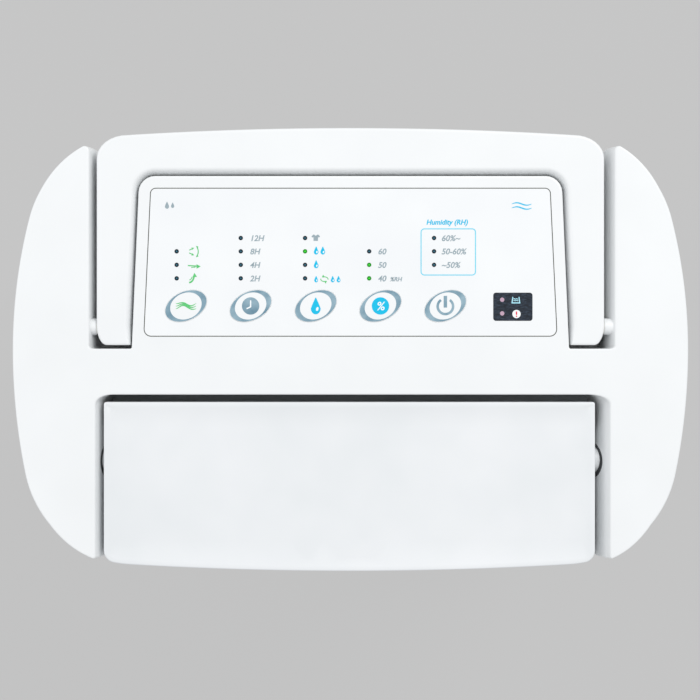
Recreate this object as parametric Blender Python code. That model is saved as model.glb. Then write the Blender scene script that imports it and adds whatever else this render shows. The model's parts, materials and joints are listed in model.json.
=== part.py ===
"""Desiccant dehumidifier: carry handle and louver on top, water tank in front, air filter behind.

Sizes are millimetres in the object's own frame: the origin is on the floor under the middle of
the plan, X runs right, Y runs back and Z runs up. new_object() turns them into metres.
"""

import math

import bmesh
import bpy
from mathutils import Vector

MM = 0.001
GAP = 0.3  # between pieces that touch, or that run in each other
SEAM = 0.6  # between the shells of the housing
WALL = 2.5
ROOF = 3.0
PAST = 5.0  # how far a cutter runs past the face that it opens

# Plan outline: the side, corner and end arcs of its front half and of its back half.
HALF_WIDTH = 168.0
HALF_DEPTH = 110.0
FRONT_ARCS = (303.0, 56.5, 1888.0)
BACK_ARCS = (260.0, 55.0, 1774.0)

# Levels of the housing, from the floor up.
BASE_FOOT = 5.0
BASE_TOP = 24.0
TANK_FLOOR = 27.0
TANK_RIM = 146.0
FASCIA_TOP = 150.3
TRAY_FLOOR = 156.0
COVER_FOOT = 452.0
HEIGHT = 510.0
KEY_PROUD = 0.4
DECK = HEIGHT - KEY_PROUD
SIDE_EDGE = 127.1  # where the side panels meet the front and rear panels
FEET = ((-118.0, -72.0), (118.0, -72.0), (-118.0, 72.0), (118.0, 72.0))

# Louver flap and its recess.
FLAP_HALF = 122.0
FLAP_REAR = -26.1
FLAP_DEPTH = 14.0
RECESS_REAR = -22.4
LIP_HALF = 120.5  # the front panel's upper edge, between the recess walls
LOUVER_AXIS = (-55.3, DECK - 14.0)  # Y, Z
TRUNNION_RADIUS = 6.2

# Carry handle and its pocket.
HANDLE_HALF = 125.5
HANDLE_FRONT = 2.2
HANDLE_BAR = 86.9
HANDLE_DEPTH = 16.0
HANDLE_CORNER = (17.0, 10.0)
HANDLE_TOE = (5.0, 10.0)
HANDLE_AXIS = (11.4, DECK - 5.5)  # Y, Z
POCKET_HALF = 129.7
POCKET_FRONT = 0.4
POCKET_FLOOR = DECK - 32.0
SCOOP_FLOOR = DECK - 42.0
PIN_RADIUS = 3.7

# Control plinth, its film and the keys.
PLINTH_FRONT_HALF = 108.6
PLINTH_BACK_HALF = 104.9
PLINTH_BACK = 86.2
PLINTH_CORNER = 8.0
PLINTH_GAP = 0.7
FILM = ((102.3, 6.8), (98.9, 79.8))  # half width and Y at its front and at its back
FILM_THICK = 0.5
KEY_X = {"airflow": -81.6, "timer": -49.5, "mode": -17.2, "humidity": 14.9, "power": 47.1}
KEY_Y = 21.6
KEY_HALF = (11.0, 7.2)
KEY_TILT = math.radians(25)
WINDOW = (80.6, 21.2, 19.4, 13.9)  # centre X and Y, width, depth

# Air path: the rotor and its gears, then the fans.
ROTOR_Z = 300.0
ROTOR_RADIUS = 87.0
GEAR_MODULE = 2.6
RIM_TEETH = 72
PINION_TEETH = 12
GEAR_SPAN = (38.0, 50.0)
CASSETTE = (32.0, 56.0)
FAN_Z = 285.0
FAN_RADIUS = 62.0
SCROLL = (-76.0, -26.0)
SCROLL_TOP = 398.0
DUCT_TOP = 465.0
REGEN_FAN = (-112.0, 330.0)  # X, Z
REGEN_PORT = (-36.0, 346.0)  # X, Z

# Tank, float and filter.
TANK_HALF = 105.0
TANK_SPAN = (-92.0, 32.0)
TANK_CORNER = 6.0
DRAIN = (40.0, -10.0)  # X, Y
FLOAT_X = 70.0
FLOAT_AXIS = (22.0, 136.0)  # Y, Z
FILTER_HALF = 102.0
FILTER_SPAN = (182.0, 438.0)
CORD_INLET = (-95.0, 60.0)  # X, Z

# Finish: sRGB colour, roughness, metallic, alpha.
FINISHES = {
    "white_abs": ("F6F8FA", 0.42, 0.0, 1.0),
    "grey_abs": ("C9CDD1", 0.5, 0.0, 1.0),
    "black_abs": ("2A2C2F", 0.55, 0.0, 1.0),
    "film": ("F4F6F8", 0.3, 0.0, 1.0),
    "key": ("FAFBFC", 0.35, 0.0, 1.0),
    "dark_window": ("3C4651", 0.25, 0.0, 1.0),
    "clear_san": ("DCE9F0", 0.12, 0.0, 0.4),
    "rubber": ("35373A", 0.85, 0.0, 1.0),
    "steel": ("B4B8BC", 0.32, 1.0, 1.0),
    "galvanised": ("A6ABAF", 0.45, 1.0, 1.0),
    "board": ("1F5B3B", 0.5, 0.0, 1.0),
    "zeolite": ("D8D2C2", 0.9, 0.0, 1.0),
    "polypropylene": ("E4E9EC", 0.45, 0.0, 0.9),
    "pom": ("EDEBE4", 0.4, 0.0, 1.0),
    "foam": ("F0F2F2", 0.8, 0.0, 1.0),
    "mesh": ("4A5560", 0.75, 0.0, 1.0),
    "magnet": ("505257", 0.4, 1.0, 1.0),
}


# --- outlines: lists of (u, v) points in a plane -------------------------------------------


def arc(centre, radii, start, stop, steps):
    """Points along an arc of an ellipse, whose angles are radians."""
    turns = [start + (stop - start) * i / steps for i in range(steps + 1)]
    return [(centre[0] + radii[0] * math.cos(t), centre[1] + radii[1] * math.sin(t)) for t in turns]


def circle(centre, radius, sides=24):
    return arc(centre, (radius, radius), 0, 2 * math.pi, sides)[:-1]


def ellipse(centre, radii, tilt, sides=28):
    flat = arc((0, 0), radii, 0, 2 * math.pi, sides)[:-1]
    c, s = math.cos(tilt), math.sin(tilt)
    return [(centre[0] + u * c - v * s, centre[1] + u * s + v * c) for u, v in flat]


def rectangle(u0, u1, v0, v1, radius=0.0, steps=4):
    if not radius:
        return [(u0, v0), (u1, v0), (u1, v1), (u0, v1)]
    middles = ((u1 - radius, v1 - radius), (u0 + radius, v1 - radius))
    middles += ((u0 + radius, v0 + radius), (u1 - radius, v0 + radius))
    points = []
    for quarter, middle in enumerate(middles):
        start = quarter * math.pi / 2
        points += arc(middle, (radius, radius), start, start + math.pi / 2, steps)
    return points


def tangent_quarter(half_depth, arcs, inset):
    """A quarter of the plan, from (HALF_WIDTH, 0) to (0, half_depth), as three tangent arcs."""
    side_radius, corner_radius, end_radius = arcs
    side = Vector((HALF_WIDTH - side_radius, 0))
    end = Vector((0, half_depth - end_radius))
    # The corner's centre lies where a circle about each long arc's centre crosses the other.
    to_side, to_end = side_radius - corner_radius, end_radius - corner_radius
    across = end - side
    along = (to_side**2 - to_end**2 + across.length_squared) / (2 * across.length)
    aside = math.sqrt(to_side**2 - along**2)
    across.normalize()
    corner = side + across * along + Vector((-across.y, across.x)) * aside
    if corner.x < 0:
        corner = side + across * along - Vector((-across.y, across.x)) * aside
    first = math.atan2(corner.y - side.y, corner.x - side.x)
    second = math.atan2(corner.y - end.y, corner.x - end.x)
    points = []
    for middle, radius, start, stop, steps in (
        (side, side_radius, 0, first, 3),
        (corner, corner_radius, first, second, 7),
        (end, end_radius, second, math.pi / 2, 3),
    ):
        reach = radius - inset
        points += arc(middle, (reach, reach), start, stop, steps)[:-1]
    return points + [(0.0, half_depth - inset)]


def housing_outline(inset=0.0):
    """The plan outline, anticlockwise from +X."""
    back = tangent_quarter(HALF_DEPTH, BACK_ARCS, inset)
    front = tangent_quarter(HALF_DEPTH, FRONT_ARCS, inset)
    left_back = [(-x, y) for x, y in reversed(back[:-1])]
    left_front = [(-x, -y) for x, y in front[1:]]
    right_front = [(x, -y) for x, y in reversed(front[1:-1])]
    return back + left_back + left_front + right_front


def kept(points, axis, low, high):
    """The part of a convex outline whose coordinate on this axis lies from low to high."""
    for limit, sign in ((low, 1), (high, -1)):
        result = []
        for here, after in zip(points, points[1:] + points[:1]):
            inside, next_inside = ((p[axis] - limit) * sign >= 0 for p in (here, after))
            if inside:
                result.append(here)
            if inside != next_inside:
                share = (limit - here[axis]) / (after[axis] - here[axis])
                result.append(tuple(a + (b - a) * share for a, b in zip(here, after)))
        points = result
    return points


def housing_part(inset, half_width, front, back):
    """The plan, inset and cut to a band about X = 0 and to a span of Y."""
    return kept(kept(housing_outline(inset), 0, -half_width, half_width), 1, front, back)


def mirrored(half):
    """A closed outline from the half that starts and ends on X = 0."""
    return half + [(-u, v) for u, v in reversed(half[1:-1])]


def gear_outline(teeth, root_share, tip_share, centre, phase=0.0):
    """Straight-flanked teeth: the shares are how much of a pitch a tooth fills at its root and its tip."""
    pitch_radius, step = teeth * GEAR_MODULE / 2, 2 * math.pi / teeth
    root, tip = pitch_radius - 1.1 * GEAR_MODULE, pitch_radius + 0.78 * GEAR_MODULE
    tooth = ((root, -root_share), (tip, -tip_share), (tip, tip_share), (root, root_share))
    points = []
    for index in range(teeth):
        for radius, share in tooth:
            turn = phase + (index + share / 2) * step
            points.append((centre[0] + radius * math.cos(turn), centre[1] + radius * math.sin(turn)))
    return points


def sector(centre, inner, outer, start, stop, steps=6):
    far = arc(centre, (outer, outer), start, stop, steps)
    return far + arc(centre, (inner, inner), stop, start, steps)


# --- closed shapes, as bmeshes ---------------------------------------------------------------


def placed(along, u, v, w):
    """A point from its two plane coordinates, in X, Y, Z order, and its place along the axis."""
    return {"X": (w, u, v), "Y": (u, w, v), "Z": (u, v, w)}[along]


def stacked(along, levels):
    """A solid through rings of equal length: levels are (place along the axis, outline) pairs."""
    shape = bmesh.new()
    rings = [[shape.verts.new(placed(along, u, v, w)) for u, v in ring] for w, ring in levels]
    shape.faces.new(rings[0])
    shape.faces.new(rings[-1])
    for low, high in zip(rings, rings[1:]):
        for i in range(len(low)):
            shape.faces.new((low[i - 1], low[i], high[i], high[i - 1]))
    bmesh.ops.recalc_face_normals(shape, faces=shape.faces)
    return shape


def prism(points, low, high, along="Z"):
    return stacked(along, ((low, points), (high, points)))


def box(x0, x1, y0, y1, z0, z1):
    return prism(rectangle(x0, x1, y0, y1), z0, z1)


def spindle(along, centre, steps, sides=24):
    """A turned solid: steps are (place along the axis, radius) pairs."""
    return stacked(along, [(w, circle(centre, radius, sides)) for w, radius in steps])


def tube(along, centre, low, high, outer, inner, sides=24):
    """A turned ring, with its bore left open."""
    shape = bmesh.new()
    corners = ((outer, low), (outer, high), (inner, high), (inner, low))
    rings = []
    for radius, w in corners:
        rings.append([shape.verts.new(placed(along, u, v, w)) for u, v in circle(centre, radius, sides)])
    for one, other in zip(rings, rings[1:] + rings[:1]):
        for i in range(sides):
            shape.faces.new((one[i - 1], one[i], other[i], other[i - 1]))
    bmesh.ops.recalc_face_normals(shape, faces=shape.faces)
    return shape


def together(shapes):
    """Several shapes that don't touch, as one mesh."""
    first, *others = shapes
    for other in others:
        copied = {vert: first.verts.new(vert.co) for vert in other.verts}
        for face in other.faces:
            first.faces.new([copied[vert] for vert in face.verts])
        other.free()
    return first


def eased(shape, radius, along="Z", segments=3, sharper_than=50):
    """The shape with its sharp edges along one axis rounded."""
    direction = Vector(placed(along, 0, 0, 1))
    edges = []
    for edge in shape.edges:
        run = (edge.verts[1].co - edge.verts[0].co).normalized()
        if abs(run.dot(direction)) > 0.99 and edge.calc_face_angle() > math.radians(sharper_than):
            edges.append(edge)
    bmesh.ops.bevel(shape, geom=edges, offset=radius, segments=segments, profile=0.5, affect="EDGES")
    return shape


# --- objects ---------------------------------------------------------------------------------


def clear_scene():
    for item in list(bpy.data.objects):
        bpy.data.objects.remove(item, do_unlink=True)


def linear(hex_code):
    channels = [int(hex_code[i : i + 2], 16) / 255 for i in (0, 2, 4)]
    return [c / 12.92 if c <= 0.04045 else ((c + 0.055) / 1.055) ** 2.4 for c in channels]


def material(name, finish):
    colour, roughness, metallic, alpha = FINISHES[finish]
    made = bpy.data.materials.new(f"{name}_{finish}")
    made.use_nodes = True
    shader = made.node_tree.nodes["Principled BSDF"]
    shader.inputs["Base Color"].default_value = (*linear(colour), 1.0)
    shader.inputs["Roughness"].default_value = roughness
    shader.inputs["Metallic"].default_value = metallic
    shader.inputs["Alpha"].default_value = alpha
    made.diffuse_color = (*linear(colour), alpha)
    return made


def new_object(name, shape, origin=(0, 0, 0)):
    """An object in metres from a shape in millimetres, with its own origin."""
    bmesh.ops.translate(shape, vec=-Vector(origin), verts=shape.verts)
    bmesh.ops.scale(shape, vec=(MM, MM, MM), verts=shape.verts)
    mesh = bpy.data.meshes.new(name)
    shape.to_mesh(mesh)
    shape.free()
    made = bpy.data.objects.new(name, mesh)
    bpy.context.scene.collection.objects.link(made)
    return made


def axis_empty(name, origin):
    """The empty on a moving body's joint axis."""
    empty = bpy.data.objects.new(name, None)
    empty.empty_display_size = 0.02
    empty.location = Vector(origin) * MM
    bpy.context.scene.collection.objects.link(empty)
    return empty


def part(name, finish, shape, *steps, rides=None):
    """One sub-part: a closed shape, then each (operation, shape) step as a live Boolean.

    A moving part rides on its body's empty, which makes that empty's place its origin.
    """
    origin = rides.location / MM if rides else (0, 0, 0)
    made = new_object(name, shape, origin)
    made.parent = rides
    made.data.materials.append(material(name, finish))
    for number, (operation, tool_shape) in enumerate(steps):
        tool = new_object(f"{name}_tool_{number}", tool_shape)
        tool.hide_render = True
        tool.display_type = "WIRE"
        step = made.modifiers.new(f"step_{number}", "BOOLEAN")
        step.operation = operation
        step.solver = "EXACT"
        step.object = tool
    made.data.shade_smooth()
    made.data.set_sharp_from_angle(angle=math.radians(35))
    return made


def cut(*shapes):
    return "DIFFERENCE", together(shapes)


def add(*shapes):
    return "UNION", together(shapes)


# --- housing ---------------------------------------------------------------------------------


def make_base():
    legs = [spindle("Z", foot, ((6.9, 10), (21, 10))) for foot in FEET]
    rails = [box(x - 1.5, x + 1.5, -90, 40, BASE_TOP - 1, 31) for x in (-108.5, 108.5)]
    part(
        "base_pan",
        "white_abs",
        prism(housing_outline(), BASE_FOOT, BASE_TOP),
        cut(prism(housing_outline(WALL), BASE_FOOT - PAST, BASE_TOP - 4)),
        add(*legs),
        add(*rails),
    )
    names = ("front_left", "front_right", "rear_left", "rear_right")
    for name, foot in zip(names, FEET):
        part(f"foot_{name}", "rubber", spindle("Z", foot, ((0, 11), (1.5, 12.5), (6.6, 12.5))))


def make_side_panels():
    low, high = BASE_TOP + SEAM, COVER_FOOT - SEAM
    for name, span in (("left", (-HALF_WIDTH, -SIDE_EDGE)), ("right", (SIDE_EDGE, HALF_WIDTH))):
        steps = [cut(prism(housing_outline(WALL), low - PAST, high + PAST))]
        if name == "left":
            vents = [box(-175, -155, -16, 16, z, z + 3) for z in range(386, 422, 7)]
            steps.append(cut(*vents))
        plan = kept(housing_outline(), 0, *span)
        part(f"{name}_side_panel", "white_abs", prism(plan, low, high), *steps)


def make_front_panel():
    """The front shell, whose upper edge is narrower so that the recess stays open at both ends."""
    high = DECK - FLAP_DEPTH - 1.0
    plan = housing_part(0, SIDE_EDGE - SEAM, -HALF_DEPTH, 0)
    hollow = prism(housing_outline(WALL), FASCIA_TOP - PAST, high + PAST)
    shoulders = [box(s * LIP_HALF, s * SIDE_EDGE, -130, -80, COVER_FOOT, high + PAST) for s in (-1, 1)]
    body = prism(plan, FASCIA_TOP + SEAM, high)
    part("front_panel", "white_abs", body, cut(hollow), cut(*shoulders))


def make_rear_panel():
    """The back shell, with a sleeve round the filter and a cup round the cord's inlet."""
    low, high = BASE_TOP + SEAM, COVER_FOOT - SEAM
    x, z = CORD_INLET
    half, bottom, top = FILTER_HALF + SEAM, FILTER_SPAN[0] - SEAM, FILTER_SPAN[1] + SEAM
    cup = kept(housing_outline(1), 0, x - 18.5, x + 18.5)
    part(
        "rear_panel",
        "white_abs",
        prism(housing_part(0, SIDE_EDGE - SEAM, 0, HALF_DEPTH), low, high),
        cut(prism(housing_outline(WALL), low - PAST, high + PAST)),
        add(
            prism(housing_part(1, half + WALL, 90, HALF_DEPTH), bottom - WALL, top + WALL),
            prism(kept(cup, 1, 96.5, HALF_DEPTH), z - 18.5, z + 18.5),
        ),
        cut(
            box(-half, half, 80, 120, bottom, top),
            box(x - 16, x + 16, 99, 120, z - 16, z + 16),
        ),
        cut(spindle("Y", CORD_INLET, ((90, 8.3), (105, 8.3)))),
    )
    part(
        "cord_gland",
        "black_abs",
        spindle("Y", CORD_INLET, ((88, 8), (99.3, 8), (99.3, 12), (102, 12), (102, 8), (105.5, 6.5))),
        cut(spindle("Y", CORD_INLET, ((80, 3.8), (110, 3.8)), 16)),
    )


def plinth_outline():
    slope = (PLINTH_FRONT_HALF - PLINTH_BACK_HALF) / (PLINTH_BACK - POCKET_FRONT)
    middle = (PLINTH_BACK_HALF - PLINTH_CORNER, PLINTH_BACK - PLINTH_CORNER)
    turn = math.atan(slope)
    corner = arc(middle, (PLINTH_CORNER, PLINTH_CORNER), turn, math.pi / 2, 4)
    half = [(0, -PAST), (PLINTH_FRONT_HALF + slope * PAST, -PAST), *corner, (0, PLINTH_BACK)]
    return mirrored(half)


def film_outline(grow=0.0):
    (front_half, front), (back_half, back) = FILM
    half = [(0, front - grow), (front_half + grow, front - grow)]
    half += [(back_half + grow, back + grow), (0, back + grow)]
    return mirrored(half)


def window_outline(grow=0.0):
    x, y, width, depth = WINDOW
    half, reach = width / 2 + grow, depth / 2 + grow
    return rectangle(x - half, x + half, y - reach, y + reach, 2.5 + grow, 3)


def key_outline(x, grow=0.0):
    return ellipse((x, KEY_Y), (KEY_HALF[0] + grow, KEY_HALF[1] + grow), KEY_TILT)


def make_top_cover():
    """One moulding: two wings, a crossbar and the plinth, round the flap's recess and the handle's pocket."""
    under, over = DECK - ROOF, HEIGHT + PAST
    block_half = SIDE_EDGE + WALL
    pocket_wall = POCKET_HALF + WALL
    recess_block = housing_part(1, block_half, -HALF_DEPTH, RECESS_REAR + WALL)
    pocket_block = housing_part(1, pocket_wall, POCKET_FRONT - WALL, HALF_DEPTH)
    scoop_block = housing_part(1, 55 + WALL, 85.5, HALF_DEPTH)
    recess = eased(
        box(-SIDE_EDGE, SIDE_EDGE, -130, RECESS_REAR, COVER_FOOT - PAST, over), 5, sharper_than=80
    )
    pocket = prism(rectangle(-POCKET_HALF, POCKET_HALF, POCKET_FRONT, 130), POCKET_FLOOR, over)
    part(
        "top_cover",
        "white_abs",
        prism(housing_outline(), COVER_FOOT, DECK),
        cut(prism(housing_outline(WALL), COVER_FOOT - PAST, under)),
        add(
            prism(recess_block, COVER_FOOT, DECK - 1),
            prism(pocket_block, POCKET_FLOOR - WALL, DECK - 1),
        ),
        add(prism(scoop_block, SCOOP_FLOOR - WALL, POCKET_FLOOR - 1)),
        cut(recess),
        cut(pocket),
        add(prism(plinth_outline(), POCKET_FLOOR - 1, DECK)),
        cut(
            box(-55, 55, 88, 130, SCOOP_FLOOR, POCKET_FLOOR + 1),
            box(-102, 102, 3, 83, POCKET_FLOOR - PAST, under),
        ),
        cut(prism(film_outline(GAP), DECK - FILM_THICK - GAP, over)),
        cut(
            *[prism(key_outline(x, GAP), under - 1, DECK) for x in KEY_X.values()],
            prism(window_outline(GAP), under - 1, DECK),
            *[spindle("X", LOUVER_AXIS, ((s * 125, 6.8), (s * 132, 6.8))) for s in (-1, 1)],
            *[spindle("X", HANDLE_AXIS, ((s * 128, 4), (s * 134, 4)), 16) for s in (-1, 1)],
        ),
    )


# --- handle and louver -------------------------------------------------------------------------


def handle_outline():
    """The bail in plan: its back follows the housing, its inner edge follows the plinth."""
    reach = PLINTH_CORNER + PLINTH_GAP
    middle = (PLINTH_BACK_HALF - PLINTH_CORNER, PLINTH_BACK - PLINTH_CORNER)
    radius_x, radius_y = HANDLE_CORNER
    back = [p for p in tangent_quarter(HALF_DEPTH, BACK_ARCS, 0) if p[0] < HANDLE_HALF - radius_x]
    corner_y = back[0][1] - radius_y
    outer = arc((HANDLE_HALF - radius_x, corner_y), HANDLE_CORNER, math.pi / 2, 0, 5)
    toe_x, toe_y = HANDLE_TOE
    front = arc((HANDLE_HALF - toe_x, HANDLE_FRONT + toe_y), HANDLE_TOE, 0, -math.pi / 2, 4)
    inner = arc(middle, (reach, reach), 0, math.pi / 2, 4)
    foot = (PLINTH_FRONT_HALF + PLINTH_GAP, HANDLE_FRONT)
    return mirrored([*reversed(back), *outer, *front, foot, *inner, (0, HANDLE_BAR)])


def handle_profile():
    """The bail from the side, as (Y, Z) points: a large round under its pivot, small ones elsewhere."""
    low = DECK - HANDLE_DEPTH
    under_pivot = arc((HANDLE_FRONT + 8, low + 8), (8, 8), math.pi, 1.5 * math.pi, 4)
    under_back = arc((HALF_DEPTH - 4, low + 4), (4, 4), -math.pi / 2, 0, 3)
    top_front = arc((HANDLE_FRONT + 1.5, DECK - 1.5), (1.5, 1.5), math.pi / 2, math.pi, 2)
    return [*under_pivot, *under_back, (HALF_DEPTH, DECK), *top_front]


def make_handle():
    body = axis_empty("handle_axis", (0, *HANDLE_AXIS))
    plan = prism(handle_outline(), DECK - HANDLE_DEPTH - 1, DECK + 1)
    holes = [spindle("X", HANDLE_AXIS, ((s * 112, 4), (s * 127, 4)), 16) for s in (-1, 1)]
    part(
        "carry_handle",
        "white_abs",
        plan,
        ("INTERSECT", prism(handle_profile(), -130, 130, "X")),
        cut(*holes),
        rides=body,
    )
    for name, side in (("left", -1), ("right", 1)):
        run = ((side * 113, PIN_RADIUS), (side * (POCKET_HALF + WALL), PIN_RADIUS))
        part(f"handle_pin_{name}", "pom", spindle("X", HANDLE_AXIS, run, 16))


def make_louver():
    """A shallow tray of a flap, ribbed underneath, with an ear and a trunnion at each end."""
    body = axis_empty("louver_axis", (0, *LOUVER_AXIS))
    low = DECK - FLAP_DEPTH
    lid = eased(prism(housing_part(0, FLAP_HALF, -HALF_DEPTH, FLAP_REAR), low, DECK), 4)
    hollow = housing_part(WALL, FLAP_HALF - WALL, -HALF_DEPTH, FLAP_REAR - WALL)
    ends = []
    for side in (-1, 1):
        run = ((119.2, 8.5), (FLAP_HALF, 8.5), (FLAP_HALF, TRUNNION_RADIUS), (129.3, TRUNNION_RADIUS))
        ends.append(spindle("X", LOUVER_AXIS, [(side * x, radius) for x, radius in run]))
    ribs = [box(x - 1, x + 1, -108, -28, DECK - 9, DECK - 2) for x in (-80, -40, 0, 40, 80)]
    part(
        "louver_flap",
        "white_abs",
        lid,
        cut(prism(hollow, low - PAST, DECK - WALL)),
        cut(box(-130, 130, -36, -20, low - PAST, DECK - 8)),
        add(*ribs),
        add(*ends),
        cut(spindle("X", LOUVER_AXIS, ((-135, 2.8), (-123, 2.8)), 12)),
        rides=body,
    )
    part("louver_shaft", "steel", spindle("X", LOUVER_AXIS, ((-142, 2.5), (-123.4, 2.5)), 12), rides=body)
    y, z = LOUVER_AXIS
    part(
        "louver_motor",
        "galvanised",
        spindle("X", (y, z - 8), ((-154, 12.5), (-139, 12.5))),
        add(spindle("X", (y, z), ((-143, 5), (-134, 5)), 16)),
        cut(spindle("X", (y, z), ((-148, 2.8), (-130, 2.8)), 12)),
    )


# --- control panel -------------------------------------------------------------------------------


def make_controls():
    part(
        "control_film",
        "film",
        eased(prism(film_outline(), DECK - FILM_THICK, DECK), 2.5),
        cut(
            *[prism(key_outline(x, GAP), DECK - 2, DECK + 2) for x in KEY_X.values()],
            prism(window_outline(GAP), DECK - 2, DECK + 2),
        ),
    )
    part("indicator_window", "dark_window", prism(window_outline(), DECK - ROOF - 0.6, DECK))
    under = DECK - ROOF - GAP
    for name, x in KEY_X.items():
        body = axis_empty(f"{name}_key_axis", (x, KEY_Y, HEIGHT))
        part(
            f"{name}_key",
            "key",
            prism(key_outline(x), under - 2, HEIGHT),
            add(prism(key_outline(x, 1.5), under - 2.4, under)),
            add(spindle("Z", (x, KEY_Y), ((under - 4.4, 2), (under - 2, 2)), 12)),
            rides=body,
        )
    switches = [spindle("Z", (x, KEY_Y), ((497.5, 3), (500.7, 3)), 12) for x in KEY_X.values()]
    part(
        "display_board",
        "board",
        box(-98, 98, 7, 80, 496.6, 498.2),
        add(*switches),
        add(box(-60, -20, 40, 60, 491, 497), box(20, 50, 40, 60, 493, 497)),
    )


def make_electronics():
    part(
        "main_board",
        "board",
        box(138, 139.6, -60, 60, 200, 340),
        add(
            spindle("X", (-35, 310), ((139, 9), (155, 9)), 16),
            spindle("X", (-10, 310), ((139, 7), (153, 7)), 16),
            box(139, 157, 20, 52, 290, 325),
            box(139, 151, -45, -15, 225, 262),
            box(139, 147, 5, 45, 215, 235),
        ),
    )
    part("humidity_sensor", "white_abs", box(-157, -151, -12, 12, 392, 416))
    part("tank_switch", "black_abs", box(60, 80, 36, 44, 122, 140))


# --- drying rotor and its drive --------------------------------------------------------------------


def pinion_centre():
    reach = GEAR_MODULE * (RIM_TEETH + PINION_TEETH) / 2
    return reach * math.sqrt(0.5), ROTOR_Z - reach * math.sqrt(0.5)


def make_cassette():
    """The frame round the rotor: a front lip, a well for the rotor and its pinion, and a rear cross-bar."""
    front, back = CASSETTE
    axis, pinion = (0, ROTOR_Z), pinion_centre()
    part(
        "rotor_cassette",
        "black_abs",
        eased(box(-112, 112, front, back, 188, 412), 8, "Y"),
        cut(spindle("Y", axis, ((front + WALL, 97.5), (back + PAST, 97.5)), 40)),
        cut(spindle("Y", pinion, ((front + WALL, 19.4), (back + PAST, 19.4)), 24)),
        cut(
            spindle("Y", axis, ((front - PAST, 88), (front + PAST, 88)), 36),
            spindle("Y", pinion, ((front - PAST, 4.3), (front + PAST, 4.3)), 12),
        ),
        add(box(-100, 100, back - WALL, back, ROTOR_Z - 6, ROTOR_Z + 6)),
        add(spindle("Y", axis, ((back - 3.5, 8.5), (back, 8.5)))),
        cut(spindle("Y", axis, ((back - 8, 4.3), (back + 2, 4.3)), 16)),
    )
    part("rotor_axle", "steel", spindle("Y", axis, ((35.5, 4), (back + 1.5, 4)), 16))


def make_rotor():
    axis = (0, ROTOR_Z)
    low, high = GEAR_SPAN
    body = axis_empty("rotor_axis", (0, low, ROTOR_Z))
    part("desiccant_rotor", "zeolite", tube("Y", axis, 37, 51, ROTOR_RADIUS, 9.3, 36), rides=body)
    part("rotor_hub", "pom", tube("Y", axis, 36.5, 51.5, 9, 4.3), rides=body)
    ring = prism(gear_outline(RIM_TEETH, 0.6, 0.24, axis, -math.pi / 4), low, high, "Y")
    bore = spindle("Y", axis, ((low - PAST, ROTOR_RADIUS + GAP), (high + PAST, ROTOR_RADIUS + GAP)), 36)
    part("rotor_rim_gear", "pom", ring, cut(bore), rides=body)

    centre = pinion_centre()
    drive = axis_empty("pinion_axis", (centre[0], low, centre[1]))
    # A gap of the pinion faces the rim's tooth on the line between the two centres.
    phase = 0.75 * math.pi + math.pi / PINION_TEETH
    part(
        "rotor_pinion",
        "pom",
        prism(gear_outline(PINION_TEETH, 0.56, 0.22, centre, phase), low, high, "Y"),
        add(spindle("Y", centre, ((16, 4), (low + 1, 4)), 16)),
        rides=drive,
    )
    part(
        "rotor_motor",
        "galvanised",
        spindle("Y", centre, ((10, 18), (27, 18))),
        cut(spindle("Y", centre, ((14, 4.3), (29, 4.3)), 16)),
    )


def make_heater():
    axis = (0, ROTOR_Z)
    start, stop = math.radians(100), math.radians(160)
    part(
        "heater_housing",
        "galvanised",
        prism(sector(axis, 14, 86, start, stop), 8, 29, "Y"),
        add(spindle("Y", REGEN_PORT, ((4.4, 13.5), (9, 13.5)))),
        cut(prism(sector(axis, 16.5, 83.5, start + 0.05, stop - 0.05), 10, 35, "Y")),
        cut(spindle("Y", REGEN_PORT, ((0, 11.5), (15, 11.5)))),
    )
    bands = [
        prism(sector(axis, r, r + 4, start + 0.12, stop - 0.12), 19, 26, "Y") for r in (26, 38, 50, 62, 74)
    ]
    spoke = sector(axis, 22, 80, (start + stop) / 2 - 0.03, (start + stop) / 2 + 0.03, 1)
    part("heater_element", "steel", prism(spoke, 18, 22, "Y"), add(*bands))


def make_regen_fan():
    """The small fan that blows through the heater."""
    x, z = REGEN_FAN
    part(
        "regen_fan_housing",
        "black_abs",
        spindle("Y", REGEN_FAN, ((-20, 36), (4, 36)), 32),
        add(eased(box(x, -20, -20, 4, z - 2, z + 36), 6, "Y", sharper_than=80)),
        cut(spindle("Y", REGEN_FAN, ((-18, 34), (2, 34)), 32)),
        cut(box(x, -22, -18, 2, z, z + 34)),
        cut(
            spindle("Y", REGEN_FAN, ((-25, 17), (-15, 17))),
            spindle("Y", REGEN_FAN, ((0, 4), (6, 4)), 12),
            spindle("Y", REGEN_PORT, ((0, 11.5), (6, 11.5))),
        ),
    )
    body = axis_empty("regen_fan_axis", (x, -10, z))
    part("regen_impeller", "pom", *impeller(REGEN_FAN, 30, 21, (1, -15), 9, 2.3, 5), rides=body)
    part("regen_fan_shaft", "steel", spindle("Y", REGEN_FAN, ((-12, 2), (20, 2)), 12), rides=body)
    part(
        "regen_motor",
        "galvanised",
        spindle("Y", REGEN_FAN, ((5, 18), (24, 18))),
        cut(spindle("Y", REGEN_FAN, ((0, 2.3), (22, 2.3)), 12)),
    )


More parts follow.
